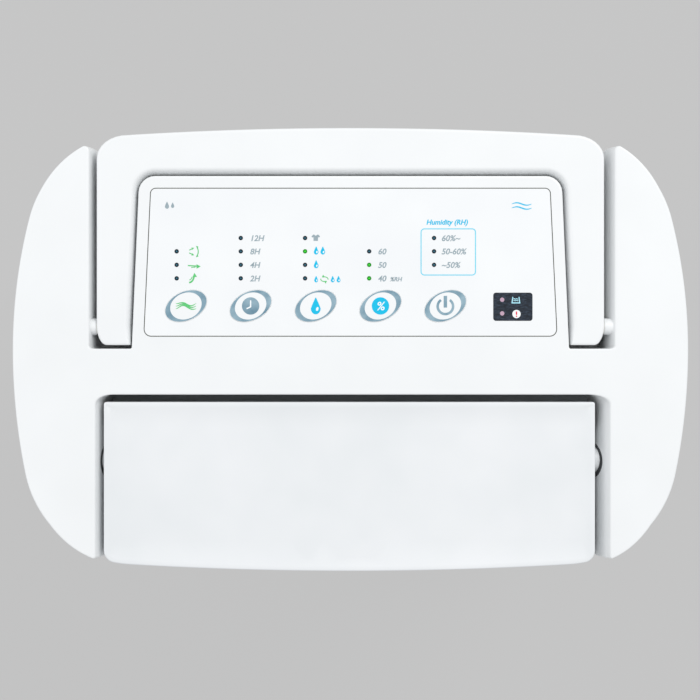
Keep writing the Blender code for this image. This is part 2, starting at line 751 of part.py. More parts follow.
def impeller(axis, outer, inner, span, count, bore, hub):
    """A centrifugal impeller as a shape and its steps: span runs from its back plate to its open eye."""
    plate, eye = span
    toward = 1 if eye > plate else -1
    blades = []
    for index in range(count):
        start = 2 * math.pi * index / count
        ring = []
        for offset, share in [(0, i / 2) for i in range(3)] + [(1.4, 1 - i / 2) for i in range(3)]:
            radius = inner + (outer - 0.5 - inner) * share
            turn = start + 0.35 * share**2 + offset / radius
            ring.append((axis[0] + radius * math.cos(turn), axis[1] + radius * math.sin(turn)))
        blades.append(prism(ring, plate + toward, eye - toward, "Y"))
    return (
        spindle("Y", axis, ((plate, outer), (plate + 2 * toward, outer)), 32),
        add(*blades),
        add(
            tube("Y", axis, eye - 2 * toward, eye, outer, inner, 32),
            spindle("Y", axis, ((plate + toward, hub), (eye - 3 * toward, hub)), 16),
        ),
        cut(spindle("Y", axis, ((plate - PAST * toward, bore), (eye + PAST * toward, bore)), 12)),
    )


# --- process fan, condenser and duct ---------------------------------------------------------------


def scroll_outline(grow=0.0):
    """A volute in (X, Z) that opens from 70 to 102 mm over five sixths of a turn, then runs up."""
    points = []
    for step in range(26):
        share = step / 25
        turn = math.radians(60 + 300 * share)
        reach = 70 + 32 * share + grow
        points.append((reach * math.cos(turn), FAN_Z + reach * math.sin(turn)))
    return [*points, (102 + grow, SCROLL_TOP), (32 - grow, SCROLL_TOP)]


def make_process_fan():
    front, back = SCROLL
    axis = (0, FAN_Z)
    inside = [(u, v + PAST if v == SCROLL_TOP else v) for u, v in scroll_outline()]
    part(
        "process_fan_housing",
        "black_abs",
        prism(scroll_outline(2), front, back, "Y"),
        cut(prism(inside, front + 2, back + PAST, "Y")),
        cut(spindle("Y", axis, ((front - PAST, 8), (front + PAST, 8)), 16)),
    )
    part(
        "process_fan_cover",
        "black_abs",
        prism(scroll_outline(2), back + GAP, back + GAP + 2, "Y"),
        add(spindle("Y", axis, ((back - 4, 52.5), (back + 1, 52.5)), 32)),
        cut(spindle("Y", axis, ((back - 2 * PAST, 50), (back + 2 * PAST, 50)), 32)),
    )
    body = axis_empty("process_fan_axis", (0, front + 4, FAN_Z))
    part("process_impeller", "pom", *impeller(axis, FAN_RADIUS, 49, (-72, -32), 20, 3.3, 9), rides=body)
    part("process_fan_shaft", "steel", spindle("Y", axis, ((-99, 3), (-40, 3)), 12), rides=body)
    part(
        "process_fan_motor",
        "galvanised",
        spindle("Y", axis, ((-104, 28), (-102, 30), (-80, 30), (-78, 28))),
        cut(spindle("Y", axis, ((-101, 3.3), (-70, 3.3)), 12)),
    )


def make_duct():
    """From the scroll's mouth up to the louver's recess, widening on the way."""
    front, back = SCROLL
    foot = SCROLL_TOP + GAP

    def bore(inset, low, high):
        mouth = rectangle(30 + inset, 104 - inset, front + inset, back - inset)
        throat = rectangle(-117 + inset, 117 - inset, -98 + inset, -27.5 - inset)
        return stacked("Z", ((low, mouth), (452, throat), (high, throat)))

    flange = prism(rectangle(-126.6, 126.6, -99.5, -22.9, 4, 3), DUCT_TOP - 3, DUCT_TOP)
    part(
        "outlet_duct",
        "grey_abs",
        bore(0, foot, DUCT_TOP),
        add(flange),
        cut(bore(2, foot - 0.01, DUCT_TOP + PAST)),
    )
    pitch = 19.0
    wells = [box(x - 8.7, x + 8.7, -93.5, -32, 450, 465) for x in (pitch * i for i in range(-5, 6))]
    part("outlet_grille", "grey_abs", box(-114.6, 114.6, -95.6, -29.9, 453, 461), cut(*wells))


def make_condenser():
    slots = [box(x - 3, x + 3, 55, 90, 202, 398) for x in range(-99, 100, 9)]
    part(
        "condenser",
        "polypropylene",
        eased(box(-108, 108, 62, 84, 186, 414), 5, "Y"),
        cut(*slots),
        add(spindle("Z", (0, 73), ((176, 6), (188, 6)), 16)),
    )
    tray = eased(box(-118, 118, -90, 87, TRAY_FLOOR, 168), 8)
    part(
        "drip_tray",
        "polypropylene",
        tray,
        cut(eased(box(-116, 116, -88, 85, TRAY_FLOOR + 2, 175), 6)),
        add(spindle("Z", DRAIN, ((150.6, 8), (TRAY_FLOOR + 1, 8)), 16)),
        cut(spindle("Z", DRAIN, ((145, 6), (165, 6)), 16)),
    )


# --- water tank --------------------------------------------------------------------------------------


def make_tank():
    front, back = TANK_SPAN
    body = axis_empty("tank_axis", (0, front, TANK_FLOOR))
    shell = prism(rectangle(-TANK_HALF, TANK_HALF, front, back, TANK_CORNER), TANK_FLOOR, TANK_RIM)
    hollow = rectangle(-TANK_HALF + 2, TANK_HALF - 2, front + 2, back - 2, TANK_CORNER - 2)
    part(
        "water_tank",
        "clear_san",
        shell,
        cut(prism(hollow, TANK_FLOOR + 2, TANK_RIM + PAST)),
        rides=body,
    )
    make_tank_lid(body)
    make_tank_front(body)
    return body


def make_tank_lid(body):
    """The lid, located by a lip inside the tank, with the drain hole and the float's two ears."""
    front, back = TANK_SPAN
    plate = rectangle(-TANK_HALF, TANK_HALF, front, back, TANK_CORNER)
    lip, inner = (
        rectangle(-TANK_HALF + i, TANK_HALF - i, front + i, back - i, TANK_CORNER + 1 - i)
        for i in (2.4, 4.4)
    )
    low = TANK_RIM + GAP
    y, z = FLOAT_AXIS
    middles = (FLOAT_X - 12.2, FLOAT_X + 12.2)
    ears = [box(x - 1.2, x + 1.2, y - 5, y + 5, z - 4, low + 1) for x in middles]
    part(
        "tank_lid",
        "white_abs",
        prism(plate, low, low + WALL),
        add(prism(lip, 142, low + 1)),
        cut(prism(inner, 140, low)),
        add(*ears),
        add(spindle("X", FLOAT_AXIS, ((FLOAT_X - 12, 1.5), (FLOAT_X + 12, 1.5)), 10)),
        cut(spindle("Z", DRAIN, ((135, 11), (155, 11)), 20)),
        rides=body,
    )


def make_tank_front(body):
    """The outer front of the tank, with a finger pull and a slot for the level window."""
    low = BASE_TOP + SEAM
    ribs = [box(x - 1.5, x + 1.5, -108, TANK_SPAN[0] - GAP, 40, 95) for x in (-72, -24, 24, 72)]
    part(
        "tank_front",
        "white_abs",
        prism(housing_part(0, SIDE_EDGE - SEAM, -HALF_DEPTH, 0), low, FASCIA_TOP),
        cut(prism(housing_outline(WALL), low - PAST, FASCIA_TOP + PAST)),
        add(prism(housing_part(1, 47.5, -HALF_DEPTH, -94.5), 107, 140), *ribs),
        cut(box(-45, 45, -107, -97, 110, 137.5)),
        cut(
            eased(box(-45, 45, -120, -105, 110, 130), 6, "Y"),
            eased(box(90.7, 101.3, -120, -95, 44.7, 120.3), 4, "Y"),
        ),
        rides=body,
    )
    pane = kept(housing_part(GAP, 101, -HALF_DEPTH, 0), 0, 91, 101)
    part(
        "level_window",
        "clear_san",
        eased(prism(pane, 45, 120), 0.8, sharper_than=60),
        ("INTERSECT", eased(box(91, 101, -120, -102.5, 45, 120), 3.7, "Y")),
        rides=body,
    )


def make_float():
    """A float on an arm that hangs forward of its pivot: water lifts it, its own weight holds it down."""
    y, z = FLOAT_AXIS
    body = axis_empty("float_axis", (FLOAT_X, y, z))
    part(
        "tank_float",
        "foam",
        box(FLOAT_X - 14, FLOAT_X + 14, y - 30, y - 10, z - 38, z - 20),
        add(box(FLOAT_X - 4, FLOAT_X + 4, y - 14, y - 2, z - 24, z)),
        add(spindle("X", FLOAT_AXIS, ((FLOAT_X - 9, 4.5), (FLOAT_X + 9, 4.5)), 16)),
        cut(
            spindle("X", FLOAT_AXIS, ((FLOAT_X - 15, 1.8), (FLOAT_X + 15, 1.8)), 10),
            spindle("Z", (FLOAT_X, y - 22), ((z - 27, 3.3), (z - 10, 3.3)), 12),
        ),
        rides=body,
    )
    magnet = spindle("Z", (FLOAT_X, y - 22), ((z - 26.7, 3), (z - 20.5, 3)), 12)
    part("float_magnet", "magnet", magnet, rides=body)


# --- filter ---------------------------------------------------------------------------------------------


def make_filter():
    """The rear grille with the filter clipped to it: one piece to pull out."""
    low, high = FILTER_SPAN
    body = axis_empty("filter_axis", (0, 100, low))
    rows = [low + 10 + 14 * i for i in range(17)]
    slots = [box(x0, x1, 95, 120, z, z + 9) for z in rows for x0, x1 in ((-95, -2.5), (2.5, 95))]
    part(
        "rear_grille",
        "white_abs",
        prism(housing_part(0, FILTER_HALF, 60, HALF_DEPTH), low, high),
        cut(prism(housing_outline(WALL), low - PAST, high + PAST)),
        cut(*slots),
        rides=body,
    )
    panes = []
    for column in (-1, 0, 1):
        for z0, z1 in ((low + 9, 308), (312, high - 9)):
            panes.append(box(62 * column - 29, 62 * column + 29, 92, 104, z0, z1))
    part(
        "filter_frame",
        "grey_abs",
        box(-99, 99, 95.5, 101, low + 3, high - 3),
        cut(*panes),
        cut(box(-95, 95, 96.7, 104, low + 7, high - 7)),
        rides=body,
    )
    part("filter_mesh", "mesh", box(-94.7, 94.7, 97, 98, low + 7.3, high - 7.3), rides=body)


def main():
    clear_scene()
    make_base()
    make_side_panels()
    make_front_panel()
    make_rear_panel()
    make_top_cover()
    make_handle()
    make_louver()
    make_controls()
    make_electronics()
    make_cassette()
    make_rotor()
    make_heater()
    make_regen_fan()
    make_process_fan()
    make_duct()
    make_condenser()
    make_tank()
    make_float()
    make_filter()


main()
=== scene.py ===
import json
import math

import bmesh
import bpy
import numpy as np
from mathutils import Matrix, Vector
from mathutils.geometry import delaunay_2d_cdt


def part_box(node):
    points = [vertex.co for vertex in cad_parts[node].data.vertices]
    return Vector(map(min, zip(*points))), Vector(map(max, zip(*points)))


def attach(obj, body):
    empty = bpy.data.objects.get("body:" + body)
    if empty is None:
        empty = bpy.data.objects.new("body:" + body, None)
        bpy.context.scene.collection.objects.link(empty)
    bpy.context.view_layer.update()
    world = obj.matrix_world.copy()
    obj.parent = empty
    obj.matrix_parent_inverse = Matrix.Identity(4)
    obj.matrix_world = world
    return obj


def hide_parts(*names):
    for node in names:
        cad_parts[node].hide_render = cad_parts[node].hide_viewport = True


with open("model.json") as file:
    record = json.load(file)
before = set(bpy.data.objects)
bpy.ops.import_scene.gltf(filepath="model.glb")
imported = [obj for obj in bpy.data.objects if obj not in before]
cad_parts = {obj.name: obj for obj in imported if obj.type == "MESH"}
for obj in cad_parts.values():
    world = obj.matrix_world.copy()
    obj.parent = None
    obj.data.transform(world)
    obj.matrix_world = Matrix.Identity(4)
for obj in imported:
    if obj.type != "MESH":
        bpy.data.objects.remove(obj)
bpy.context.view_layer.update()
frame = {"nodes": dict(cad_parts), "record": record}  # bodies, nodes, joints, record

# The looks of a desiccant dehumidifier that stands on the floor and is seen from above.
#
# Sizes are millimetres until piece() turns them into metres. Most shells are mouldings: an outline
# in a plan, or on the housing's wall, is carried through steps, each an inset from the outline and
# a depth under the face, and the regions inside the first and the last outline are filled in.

MM = 0.001


def corners(node):
    """A CAD node's low and high corners."""
    low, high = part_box(node)
    return np.round(np.array(low) / MM, 2), np.round(np.array(high) / MM, 2)


# --- sizes: most come from the CAD nodes that the pieces stand for

COVER_LOW, COVER_HIGH = corners("top_cover")
HALF_WIDTH, HALF_DEPTH, DECK = COVER_HIGH
COVER_FOOT = COVER_LOW[2]
KEY_TOP = corners("power_key")[1][2]
PANEL_LOW, PANEL_HIGH = corners("right_side_panel")
SIDE_EDGE = PANEL_LOW[0]
BASE_FOOT = corners("base_pan")[0][2]
FRONT_ARCS = (303.0, 56.5, 1888.0)  # radii of the plan's side, corner and end, in its front half
BACK_ARCS = (260.0, 55.0, 1774.0)
WALL = 2.5
ROOF = 3.0
SEAM = 0.6
OUTLINE_STEP = 1.5
WING_FALL = 2.0

FLAP_HALF = 122.0
FLAP_REAR = corners("louver_flap")[1][1]
FLAP_DEPTH = 14.0
FLAP_FALL = 0.8
FLAP_PLAY = 0.5  # the louver rests against its left bush
LOUVER_AXIS = (-55.3, DECK - FLAP_DEPTH)  # Y, Z
RECESS_REAR = -22.4
RECESS_HALF = 123.2  # the recess's side walls, under their slopes
RECESS_FLARE = 6.0  # how much wider the slopes make it at the deck

HANDLE_LOW, HANDLE_HIGH = corners("carry_handle")
HANDLE_HALF = HANDLE_HIGH[0] + 0.5
HANDLE_FRONT = HANDLE_LOW[1]
HANDLE_BAR = 86.9
HANDLE_AXIS = (11.4, DECK - 5.5)  # Y, Z
HANDLE_DEPTH = DECK - HANDLE_LOW[2]
POCKET_HALF = 127.5  # the same for the handle's pocket
POCKET_FLARE = 3.9
SLOPE_DEPTH = 14.0
LEFT_FLARE = 0.6  # the left wing's slopes are narrower
POCKET_FRONT = 0.4
POCKET_FLOOR = DECK - 32.0
SCOOP_FLOOR = DECK - 42.0
SCOOP_HALF = 55.0
SCOOP_FRONT = 88.0

PLINTH = ((108.6, POCKET_FRONT), (104.9, 86.2))  # half width and Y at its front and at its back
PLINTH_CORNER = 8.0
PLINTH_GAP = 0.7
FILM = ((102.3, 6.8), (98.9, 79.8))
FILM_THICK = 0.5
FILM_RECESS = 0.8
KEY_X = {"airflow": -81.6, "timer": -49.5, "mode": -17.2, "humidity": 14.9, "power": 47.1}
KEY_Y = 21.6
KEY_HALF = (11.0, 7.2)
KEY_TILT = math.radians(25)
WINDOW_LOW, WINDOW_HIGH = corners("indicator_window")


# --- outlines: arrays of points in a plane


def arc(centre, radii, start, stop, steps):
    """An ellipse's arc: its centre plus each radius times the cosine and the sine of the angle."""
    turn = np.linspace(start, stop, steps + 1)
    return np.stack([centre[0] + radii[0] * np.cos(turn), centre[1] + radii[1] * np.sin(turn)], 1)


def ellipse(centre, radii, tilt=0.0, steps=72):
    """A closed ellipse, anticlockwise, turned by its tilt about its centre."""
    flat = arc((0, 0), radii, 0, 2 * math.pi, steps)[:-1]
    c, s = math.cos(tilt), math.sin(tilt)
    return flat @ np.array([[c, s], [-s, c]]) + centre


def run_lengths(run):
    """The distance along a run of points from its first point to each of them."""
    return np.concatenate([[0], np.cumsum(np.hypot(*np.diff(run, axis=0).T))])


def bend(before, corner, after, steps):
    """A conic from one point to another that leaves and arrives along the lines to the corner.

    It is the rational quadratic whose middle weight is the cosine of half the turn, so that it is
    a circle's arc where the two points are equally far from the corner.
    """
    into, out = corner - before, after - corner
    turn = math.acos(np.clip(into @ out / (np.hypot(*into) * np.hypot(*out)), -1, 1))
    t = np.linspace(0, 1, steps + 1)[:, None]
    first, middle, last = (1 - t) ** 2, 2 * t * (1 - t) * math.cos(turn / 2), t**2
    return (first * before + middle * corner + last * after) / (first + middle + last)


def closed_loop(runs, cuts, gap=4.0, steps=6):
    """A closed outline from runs of points, each of which ends where the next one starts.

    Every run is resampled evenly by its length. At the corner after a run both runs stop short by
    that corner's cut, or by its pair of cuts, and a bend joins them.
    """
    pairs = [cut if isinstance(cut, tuple) else (cut, cut) for cut in cuts]
    resampled = []
    for index, run in enumerate(runs):
        run = np.asarray(run, float)
        along = run_lengths(run)
        start, stop = pairs[index - 1][1], along[-1] - pairs[index][0]
        places = np.linspace(start, stop, max(2, int((stop - start) / gap) + 2))
        resampled.append(np.stack([np.interp(places, along, run[:, k]) for k in (0, 1)], 1))
    points = []
    for index, run in enumerate(runs):
        here, after = resampled[index], resampled[(index + 1) % len(runs)]
        points.append(here[:-1])
        if max(pairs[index]) > 0:
            turned_corner = bend(here[-1], np.asarray(run[-1], float), after[0], steps)
            points.append(turned_corner[:-1])
    return np.concatenate(points)


def joined(*parts):
    """Closed runs through spots and longer runs in turn, with a straight run between each two."""
    parts = [np.atleast_2d(np.asarray(part, float)) for part in parts]
    runs = []
    for part, following in zip(parts, [*parts[1:], parts[0]]):
        runs += [part] if len(part) > 1 else []
        runs.append((part[-1], following[0]))
    return runs


def rectangle(u0, u1, v0, v1, cut=0.0, gap=4.0, steps=6):
    """A closed rectangle, anticlockwise, with its corners rounded by the cut."""
    return closed_loop(joined((u0, v0), (u1, v0), (u1, v1), (u0, v1)), [cut] * 4, gap, steps)


def mirrored_loop(right):
    """A closed outline from its right half, which starts and ends on U = 0."""
    return np.concatenate([right, right[-2:0:-1] * (-1, 1)])


def gathered(points, crowded, distance):
    """Neighbouring crowded points moved to their own middle, if it is nearer than the distance."""
    if crowded.all() or not crowded.any():
        return points
    first = int(np.argmin(crowded))
    points, crowded = np.roll(points, -first, 0), np.roll(crowded, -first)
    group = 2 * np.cumsum(~crowded) + crowded
    middles = np.zeros((group.max() + 1, 2))
    np.add.at(middles, group, points)
    middles = (middles / np.maximum(np.bincount(group), 1)[:, None])[group]
    near = crowded & (np.hypot(*(middles - points).T) < np.max(distance))
    return np.roll(np.where(near[:, None], middles, points), first, 0)


def inset(loop, distance):
    """Each point moved to the outline's left, off both edges that meet there by the same distance.

    The move is the sum of the two edges' left normals over one plus their cosine. It stops short
    of the distance where an edge would otherwise shrink to nothing.
    """
    run = np.roll(loop, -1, 0) - loop
    size = np.maximum(np.hypot(run[:, 0], run[:, 1]), 1e-9)
    left = np.stack([-run[:, 1], run[:, 0]], 1) / size[:, None]
    before = np.roll(left, 1, 0)
    cosine = (left * before).sum(1)
    sine = before[:, 0] * left[:, 1] - before[:, 1] * left[:, 0]
    narrowing = np.clip(sine / (1 + cosine), 0, None)
    room = 0.9 * size / np.maximum(narrowing + np.roll(narrowing, -1), 1e-9)
    reach = np.minimum(distance, np.minimum(room, np.roll(room, 1)))
    moved = loop + (left + before) * (reach / (1 + cosine))[:, None]
    return gathered(moved, reach < distance, distance)


def plan_quarter(arcs):
    """From (HALF_WIDTH, 0) to (0, HALF_DEPTH): three arcs, each tangent to the next.

    The corner's centre lies as far from each long arc's centre as their radii differ.
    """
    side_radius, corner_radius, end_radius = arcs
    side, end = np.array((HALF_WIDTH - side_radius, 0.0)), np.array((0.0, HALF_DEPTH - end_radius))
    span = np.hypot(*(end - side))
    unit = (end - side) / span
    to_side, to_end = side_radius - corner_radius, end_radius - corner_radius
    along = (to_side**2 - to_end**2 + span**2) / (2 * span)
    aside = math.sqrt(to_side**2 - along**2) * np.array((-unit[1], unit[0]))
    corner = max((side + unit * along + aside, side + unit * along - aside), key=lambda c: c[0])
    first = math.atan2(*(corner - side)[::-1])
    second = math.atan2(*(corner - end)[::-1])
    stretches = ((side, side_radius, 0, first), (corner, corner_radius, first, second))
    points = [arc(middle, (r, r), start, stop, 40)[:-1] for middle, r, start, stop in stretches]
    return np.concatenate([*points, arc(end, (end_radius,) * 2, second, math.pi / 2, 40)])


FRONT_QUARTER = plan_quarter(FRONT_ARCS)[::-1] * (1, -1)  # from the front's middle to the side
BACK_QUARTER = plan_quarter(BACK_ARCS)  # from the side to the back's middle
PLAN = mirrored_loop(np.concatenate([FRONT_QUARTER, BACK_QUARTER[1:]]))
PLAN_CLOSED = np.concatenate([PLAN, PLAN[:1]])
PLAN_RUN = run_lengths(PLAN_CLOSED)
PERIMETER = PLAN_RUN[-1]
PLAN_HEADING = np.roll(PLAN, -1, 0) - np.roll(PLAN, 1, 0)
PLAN_HEADING = PLAN_HEADING / np.hypot(*PLAN_HEADING.T)[:, None]
PLAN_HEADING = np.concatenate([PLAN_HEADING, PLAN_HEADING[:1]])


def front_at(x):
    """How far along the outline from the front's middle it passes this X."""
    return math.copysign(np.interp(abs(x), FRONT_QUARTER[:, 0], run_lengths(FRONT_QUARTER)), x)


def back_at(x):
    """The same, for where its back passes this X."""
    quarter = BACK_QUARTER[::-1]
    return PERIMETER / 2 - math.copysign(np.interp(abs(x), quarter[:, 0], run_lengths(quarter)), x)


def on_wall(along, z, depth):
    """A point of the housing's wall: its distance along the outline, its height and its depth."""
    along = np.mod(along, PERIMETER)
    x, y = (np.interp(along, PLAN_RUN, PLAN_CLOSED[:, k]) for k in (0, 1))
    u, v = (np.interp(along, PLAN_RUN, PLAN_HEADING[:, k]) for k in (0, 1))
    return np.stack([x - v * depth, y + u * depth, z], 1)


def outline_run(start, stop):
    """Points of the outline from one distance along it to another."""
    along = np.arange(start, stop, OUTLINE_STEP)
    along = np.append(along, stop)
    return on_wall(along, np.zeros(len(along)), 0)[:, :2]


def at_level(top):
    """The mapping of a plan onto a flat face at this height."""
    return lambda x, y, depth: np.stack([x, y, top - depth], 1)


# --- surfaces: (points, faces) patches that a piece is joined from

MEETING = 0.001
SHARP_ANGLE = 35


def quarter(radius, steps=4, guard=0.5):
    """Steps round an edge: the inset is the radius less its sine, the depth less its cosine.

    A narrow flat band on both sides keeps the shading of the faces that it joins flat.
    """
    turns = np.linspace(0, math.pi / 2, steps + 1)
    bends = [(radius * (1 - math.sin(t)), radius * (1 - math.cos(t))) for t in turns]
    return [(radius + guard, 0 * radius), *bends, (0 * radius, radius + guard)]


def walls(rings, place):
    """A band of quads between each outline and the next; rings are (outline, depth) pairs."""
    count = len(rings[0][0])
    levels = [np.broadcast_to(depth, (count,)) for _, depth in rings]
    points = [place(ring[:, 0], ring[:, 1], level) for (ring, _), level in zip(rings, levels)]
    here = np.arange(count)
    after = np.roll(here, -1)
    band = np.stack([here, here + count, after + count, after], 1)
    faces = [band + count * step for step in range(len(rings) - 1)]
    return np.concatenate(points), np.concatenate(faces)


def carried(loop, steps):
    """The rings of an outline that is carried through (inset, depth) steps."""
    return [(inset(loop, distance), depth) for distance, depth in steps]


def inside(loops, points):
    """Whether each point is inside: a ray to its right crosses the edges an odd number of times."""
    starts = np.concatenate(loops)
    ends = np.concatenate([np.roll(loop, -1, 0) for loop in loops])
    level = points[:, 1:]
    spans = (starts[:, 1] > level) != (ends[:, 1] > level)
    rise = ends[:, 1] - starts[:, 1]
    rise = np.where(rise == 0, 1, rise)
    crossing = starts[:, 0] + (level - starts[:, 1]) * (ends[:, 0] - starts[:, 0]) / rise
    return (spans & (points[:, :1] < crossing)).sum(1) % 2 == 1


def filled(loops, depth, place, gap=8.0, inward=False):
    """The region inside the loops as triangles, with a grid of points clear of its edges."""
    edge = np.concatenate(loops)
    columns = [np.arange(low + gap / 2, high, gap) for low, high in zip(edge.min(0), edge.max(0))]
    grid = np.stack(np.meshgrid(*columns), -1).reshape(-1, 2)
    grid = grid[inside(loops, grid)]
    nearest = np.hypot(*(grid[:, None] - edge[None]).transpose(2, 0, 1)).min(1, initial=1e9)
    points = np.concatenate([edge, grid[nearest > 0.5 * gap]])
    first = np.cumsum([0, *[len(loop) for loop in loops]])
    rims = [np.arange(len(loop)) + start for loop, start in zip(loops, first)]
    rims = np.concatenate([np.stack([rim, np.roll(rim, -1)], 1) for rim in rims])
    found = delaunay_2d_cdt(list(map(Vector, points.tolist())), rims.tolist(), [], 0, 1e-7, False)
    flat, faces = np.array(found[0]), np.array(found[2])
    one, two, three = (flat[faces[:, k]] for k in (0, 1, 2))
    area = np.cross(two - one, three - one)
    faces = np.where((area < 0)[:, None] != inward, faces[:, ::-1], faces)
    faces = faces[inside(loops, (one + two + three) / 3) & (abs(area) > 1e-7)]
    return place(flat[:, 0], flat[:, 1], np.full(len(flat), float(np.max(depth)))), faces


def moulding(loops, steps, place, gap=8.0):
    """A closed body: every loop carried through the same steps, and filled in at both ends."""
    rings = [carried(loop, steps) for loop in loops]
    first, last = [ring[0][0] for ring in rings], [ring[-1][0] for ring in rings]
    ends = [
        filled(first, steps[0][1], place, gap),
        filled(last, steps[-1][1], place, gap, inward=True),
    ]
    return [*ends, *[walls(ring, place) for ring in rings]]


def turned(profile, centre, along="Z", sides=48):
    """A turned body: (radius, place) points carried round an axis through the centre.

    The profile starts and ends at radius zero. It runs from the far end of the axis to the near.
    """
    radius, place = np.asarray(profile, float).T
    turn = np.linspace(0, 2 * math.pi, sides, endpoint=False)
    u = centre[0] + radius[:, None] * np.cos(turn)
    v = centre[1] + radius[:, None] * np.sin(turn)
    w = np.broadcast_to(place[:, None], u.shape)
    order = {"X": (w, u, v), "Y": (v, w, u), "Z": (u, v, w)}[along]
    points = np.stack(order, -1).reshape(-1, 3)
    here = np.arange(sides)
    after = np.roll(here, -1)
    band = np.stack([here, here + sides, after + sides, after], 1)
    faces = [band + sides * step for step in range(len(radius) - 1)]
    return points, np.concatenate(faces)


def added(name, data):
    """An object of this data, in the scene."""
    made = bpy.data.objects.new(name, data)
    bpy.context.scene.collection.objects.link(made)
    return made


def piece(name, patches, finish, body="housing", slot="", node=""):
    """One object from patches, which are joined where their points meet within a micron.

    It rides on a body, and where a CAD node is named it stands for that node. The slot that it is
    given is not used.
    """
    points = np.concatenate([patch[0] for patch in patches]) * MM
    starts = np.cumsum([0, *[len(patch[0]) for patch in patches]])
    faces = [face for patch, start in zip(patches, starts) for face in (patch[1] + start).tolist()]
    mesh = bpy.data.meshes.new(name)
    mesh.from_pydata(points.tolist(), [], faces)
    shape = bmesh.new()
    shape.from_mesh(mesh)
    bmesh.ops.remove_doubles(shape, verts=shape.verts, dist=MEETING * MM)
    bmesh.ops.dissolve_degenerate(shape, dist=MEETING / 10 * MM, edges=shape.edges)
    shape.to_mesh(mesh)
    shape.free()
    mesh.shade_smooth()
    mesh.set_sharp_from_angle(angle=math.radians(SHARP_ANGLE))
    mesh.materials.append(FINISHES[finish])
    made = added(name, mesh)
    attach(made, body)
    slot or finish
    if node:
        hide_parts(node)


# --- materials


def tone(hex_code):
    """An sRGB hex colour as linear red, green, blue and alpha."""
    channels = np.array([int(hex_code[i : i + 2], 16) for i in (0, 2, 4)]) / 255
    linear = np.where(channels <= 0.04045, channels / 12.92, ((channels + 0.055) / 1.055) ** 2.4)
    return (*linear.tolist(), 1.0)


def add_node(tree, kind, values=(), links=(), **settings):
    """Adds a node: its settings, its sockets' values, and links from (node, output) pairs."""
    made = tree.nodes.new(kind)
    for name, value in settings.items():
        setattr(made, name, value)
    for name, value in dict(values).items():
        made.inputs[name].default_value = value
    for name, (source, output) in dict(links).items():
        tree.links.new(source.outputs[output], made.inputs[name])
    return made


def new_finish(name, **values):
    """A material, its node tree, its shader and a link from its object coordinates."""
    made = bpy.data.materials.new(name)
    made.use_nodes = True
    shader = made.node_tree.nodes["Principled BSDF"]
    for socket, value in values.items():
        shader.inputs[socket.replace("_", " ")].default_value = value
    spot = {"Vector": (add_node(made.node_tree, "ShaderNodeTexCoord"), "Object")}
    return made, made.node_tree, shader, spot


def grain(tree, spot, millimetres, detail=3.0):
    """Noise whose features are this many millimetres across."""
    values = {"Scale": 1000 / millimetres, "Detail": detail, "Roughness": 0.6}
    return add_node(tree, "ShaderNodeTexNoise", values, spot)


def relief(tree, shader, source, output, height):
    """Bump from a pattern, this many millimetres high."""
    values = {"Strength": 1.0, "Distance": height * MM}
    bump = add_node(tree, "ShaderNodeBump", values, {"Height": (source, output)})
    tree.links.new(bump.outputs["Normal"], shader.inputs["Normal"])


def shaded(tree, shader, source, output, dark, light, low=0.3, high=0.7, socket="Base Color"):
    """A ramp from a pattern to two colours."""
    ramp = add_node(tree, "ShaderNodeValToRGB", (), {"Fac": (source, output)})
    for element, place, colour in zip(ramp.color_ramp.elements, (low, high), (dark, light)):
        element.position = place
        element.color = tone(colour)
    tree.links.new(ramp.outputs["Color"], shader.inputs[socket])


def drifting(name, dark, light, drift, size=0.0, height=0.0, detail=2.0, **values):
    """A finish that drifts between two colours over this many millimetres.

    A relief of this size and height, both in millimetres, lies over it where it has a height.
    """
    made, tree, shader, spot = new_finish(name, **values)
    shaded(tree, shader, grain(tree, spot, drift, detail), "Fac", dark, light)
    if height:
        relief(tree, shader, grain(tree, spot, size), "Fac", height)
    return made


def abs_moulded(name, dark, light, roughness, texture=0.6):
    """ABS, injection moulded in a spark-eroded tool: an even satin with a faint fine grain.

    Real spark erosion is 0.1 mm across; it is drawn several times as coarse so that it shows.
    """
    return drifting(name, dark, light, 45, texture, 0.012, Roughness=roughness, IOR=1.54)


def film_printed():
    """Polycarbonate film, screen printed on its back: smooth and a little glossy."""
    made, tree, shader, spot = new_finish("polycarbonate_film", Roughness=0.3, IOR=1.58)
    shaded(tree, shader, grain(tree, spot, 30, 1.0), "Fac", "E9EBED", "ECEEEF")
    relief(tree, shader, grain(tree, spot, 3.0, 2.0), "Fac", 0.004)
    return made


def ink(name, dark, light, unevenness=1.2):
    """Screen-printed ink: matt, and uneven over this many millimetres."""
    return drifting(name, dark, light, unevenness, Roughness=0.7, IOR=1.4)


def lamp(name, colour, glow=0.0):
    """An epoxy lamp under a clear print: dark when it is off, an even glow when it is on."""
    made, tree, shader, spot = new_finish(name, Roughness=0.5, IOR=1.35)
    shaded(tree, shader, grain(tree, spot, 0.8, 1.0), "Fac", colour, colour)
    shader.inputs["Emission Color"].default_value = tone(colour)
    shader.inputs["Emission Strength"].default_value = glow
    return made


def acrylic_smoked():
    """Acrylic, smoked: deep slate, with fine pale scratches along X about 1 mm apart."""
    made, tree, shader, spot = new_finish("acrylic_smoked", Roughness=0.3, IOR=1.45)
    along = add_node(tree, "ShaderNodeMapping", {"Scale": (0.25, 1.0, 1.0)}, spot)
    values = {"Scale": 1800.0, "Detail": 4.0, "Roughness": 0.8}
    fine = add_node(tree, "ShaderNodeTexNoise", values, {"Vector": (along, "Vector")})
    shaded(tree, shader, fine, "Fac", "0A1420", "46566A", 0.45, 0.85)
    return made


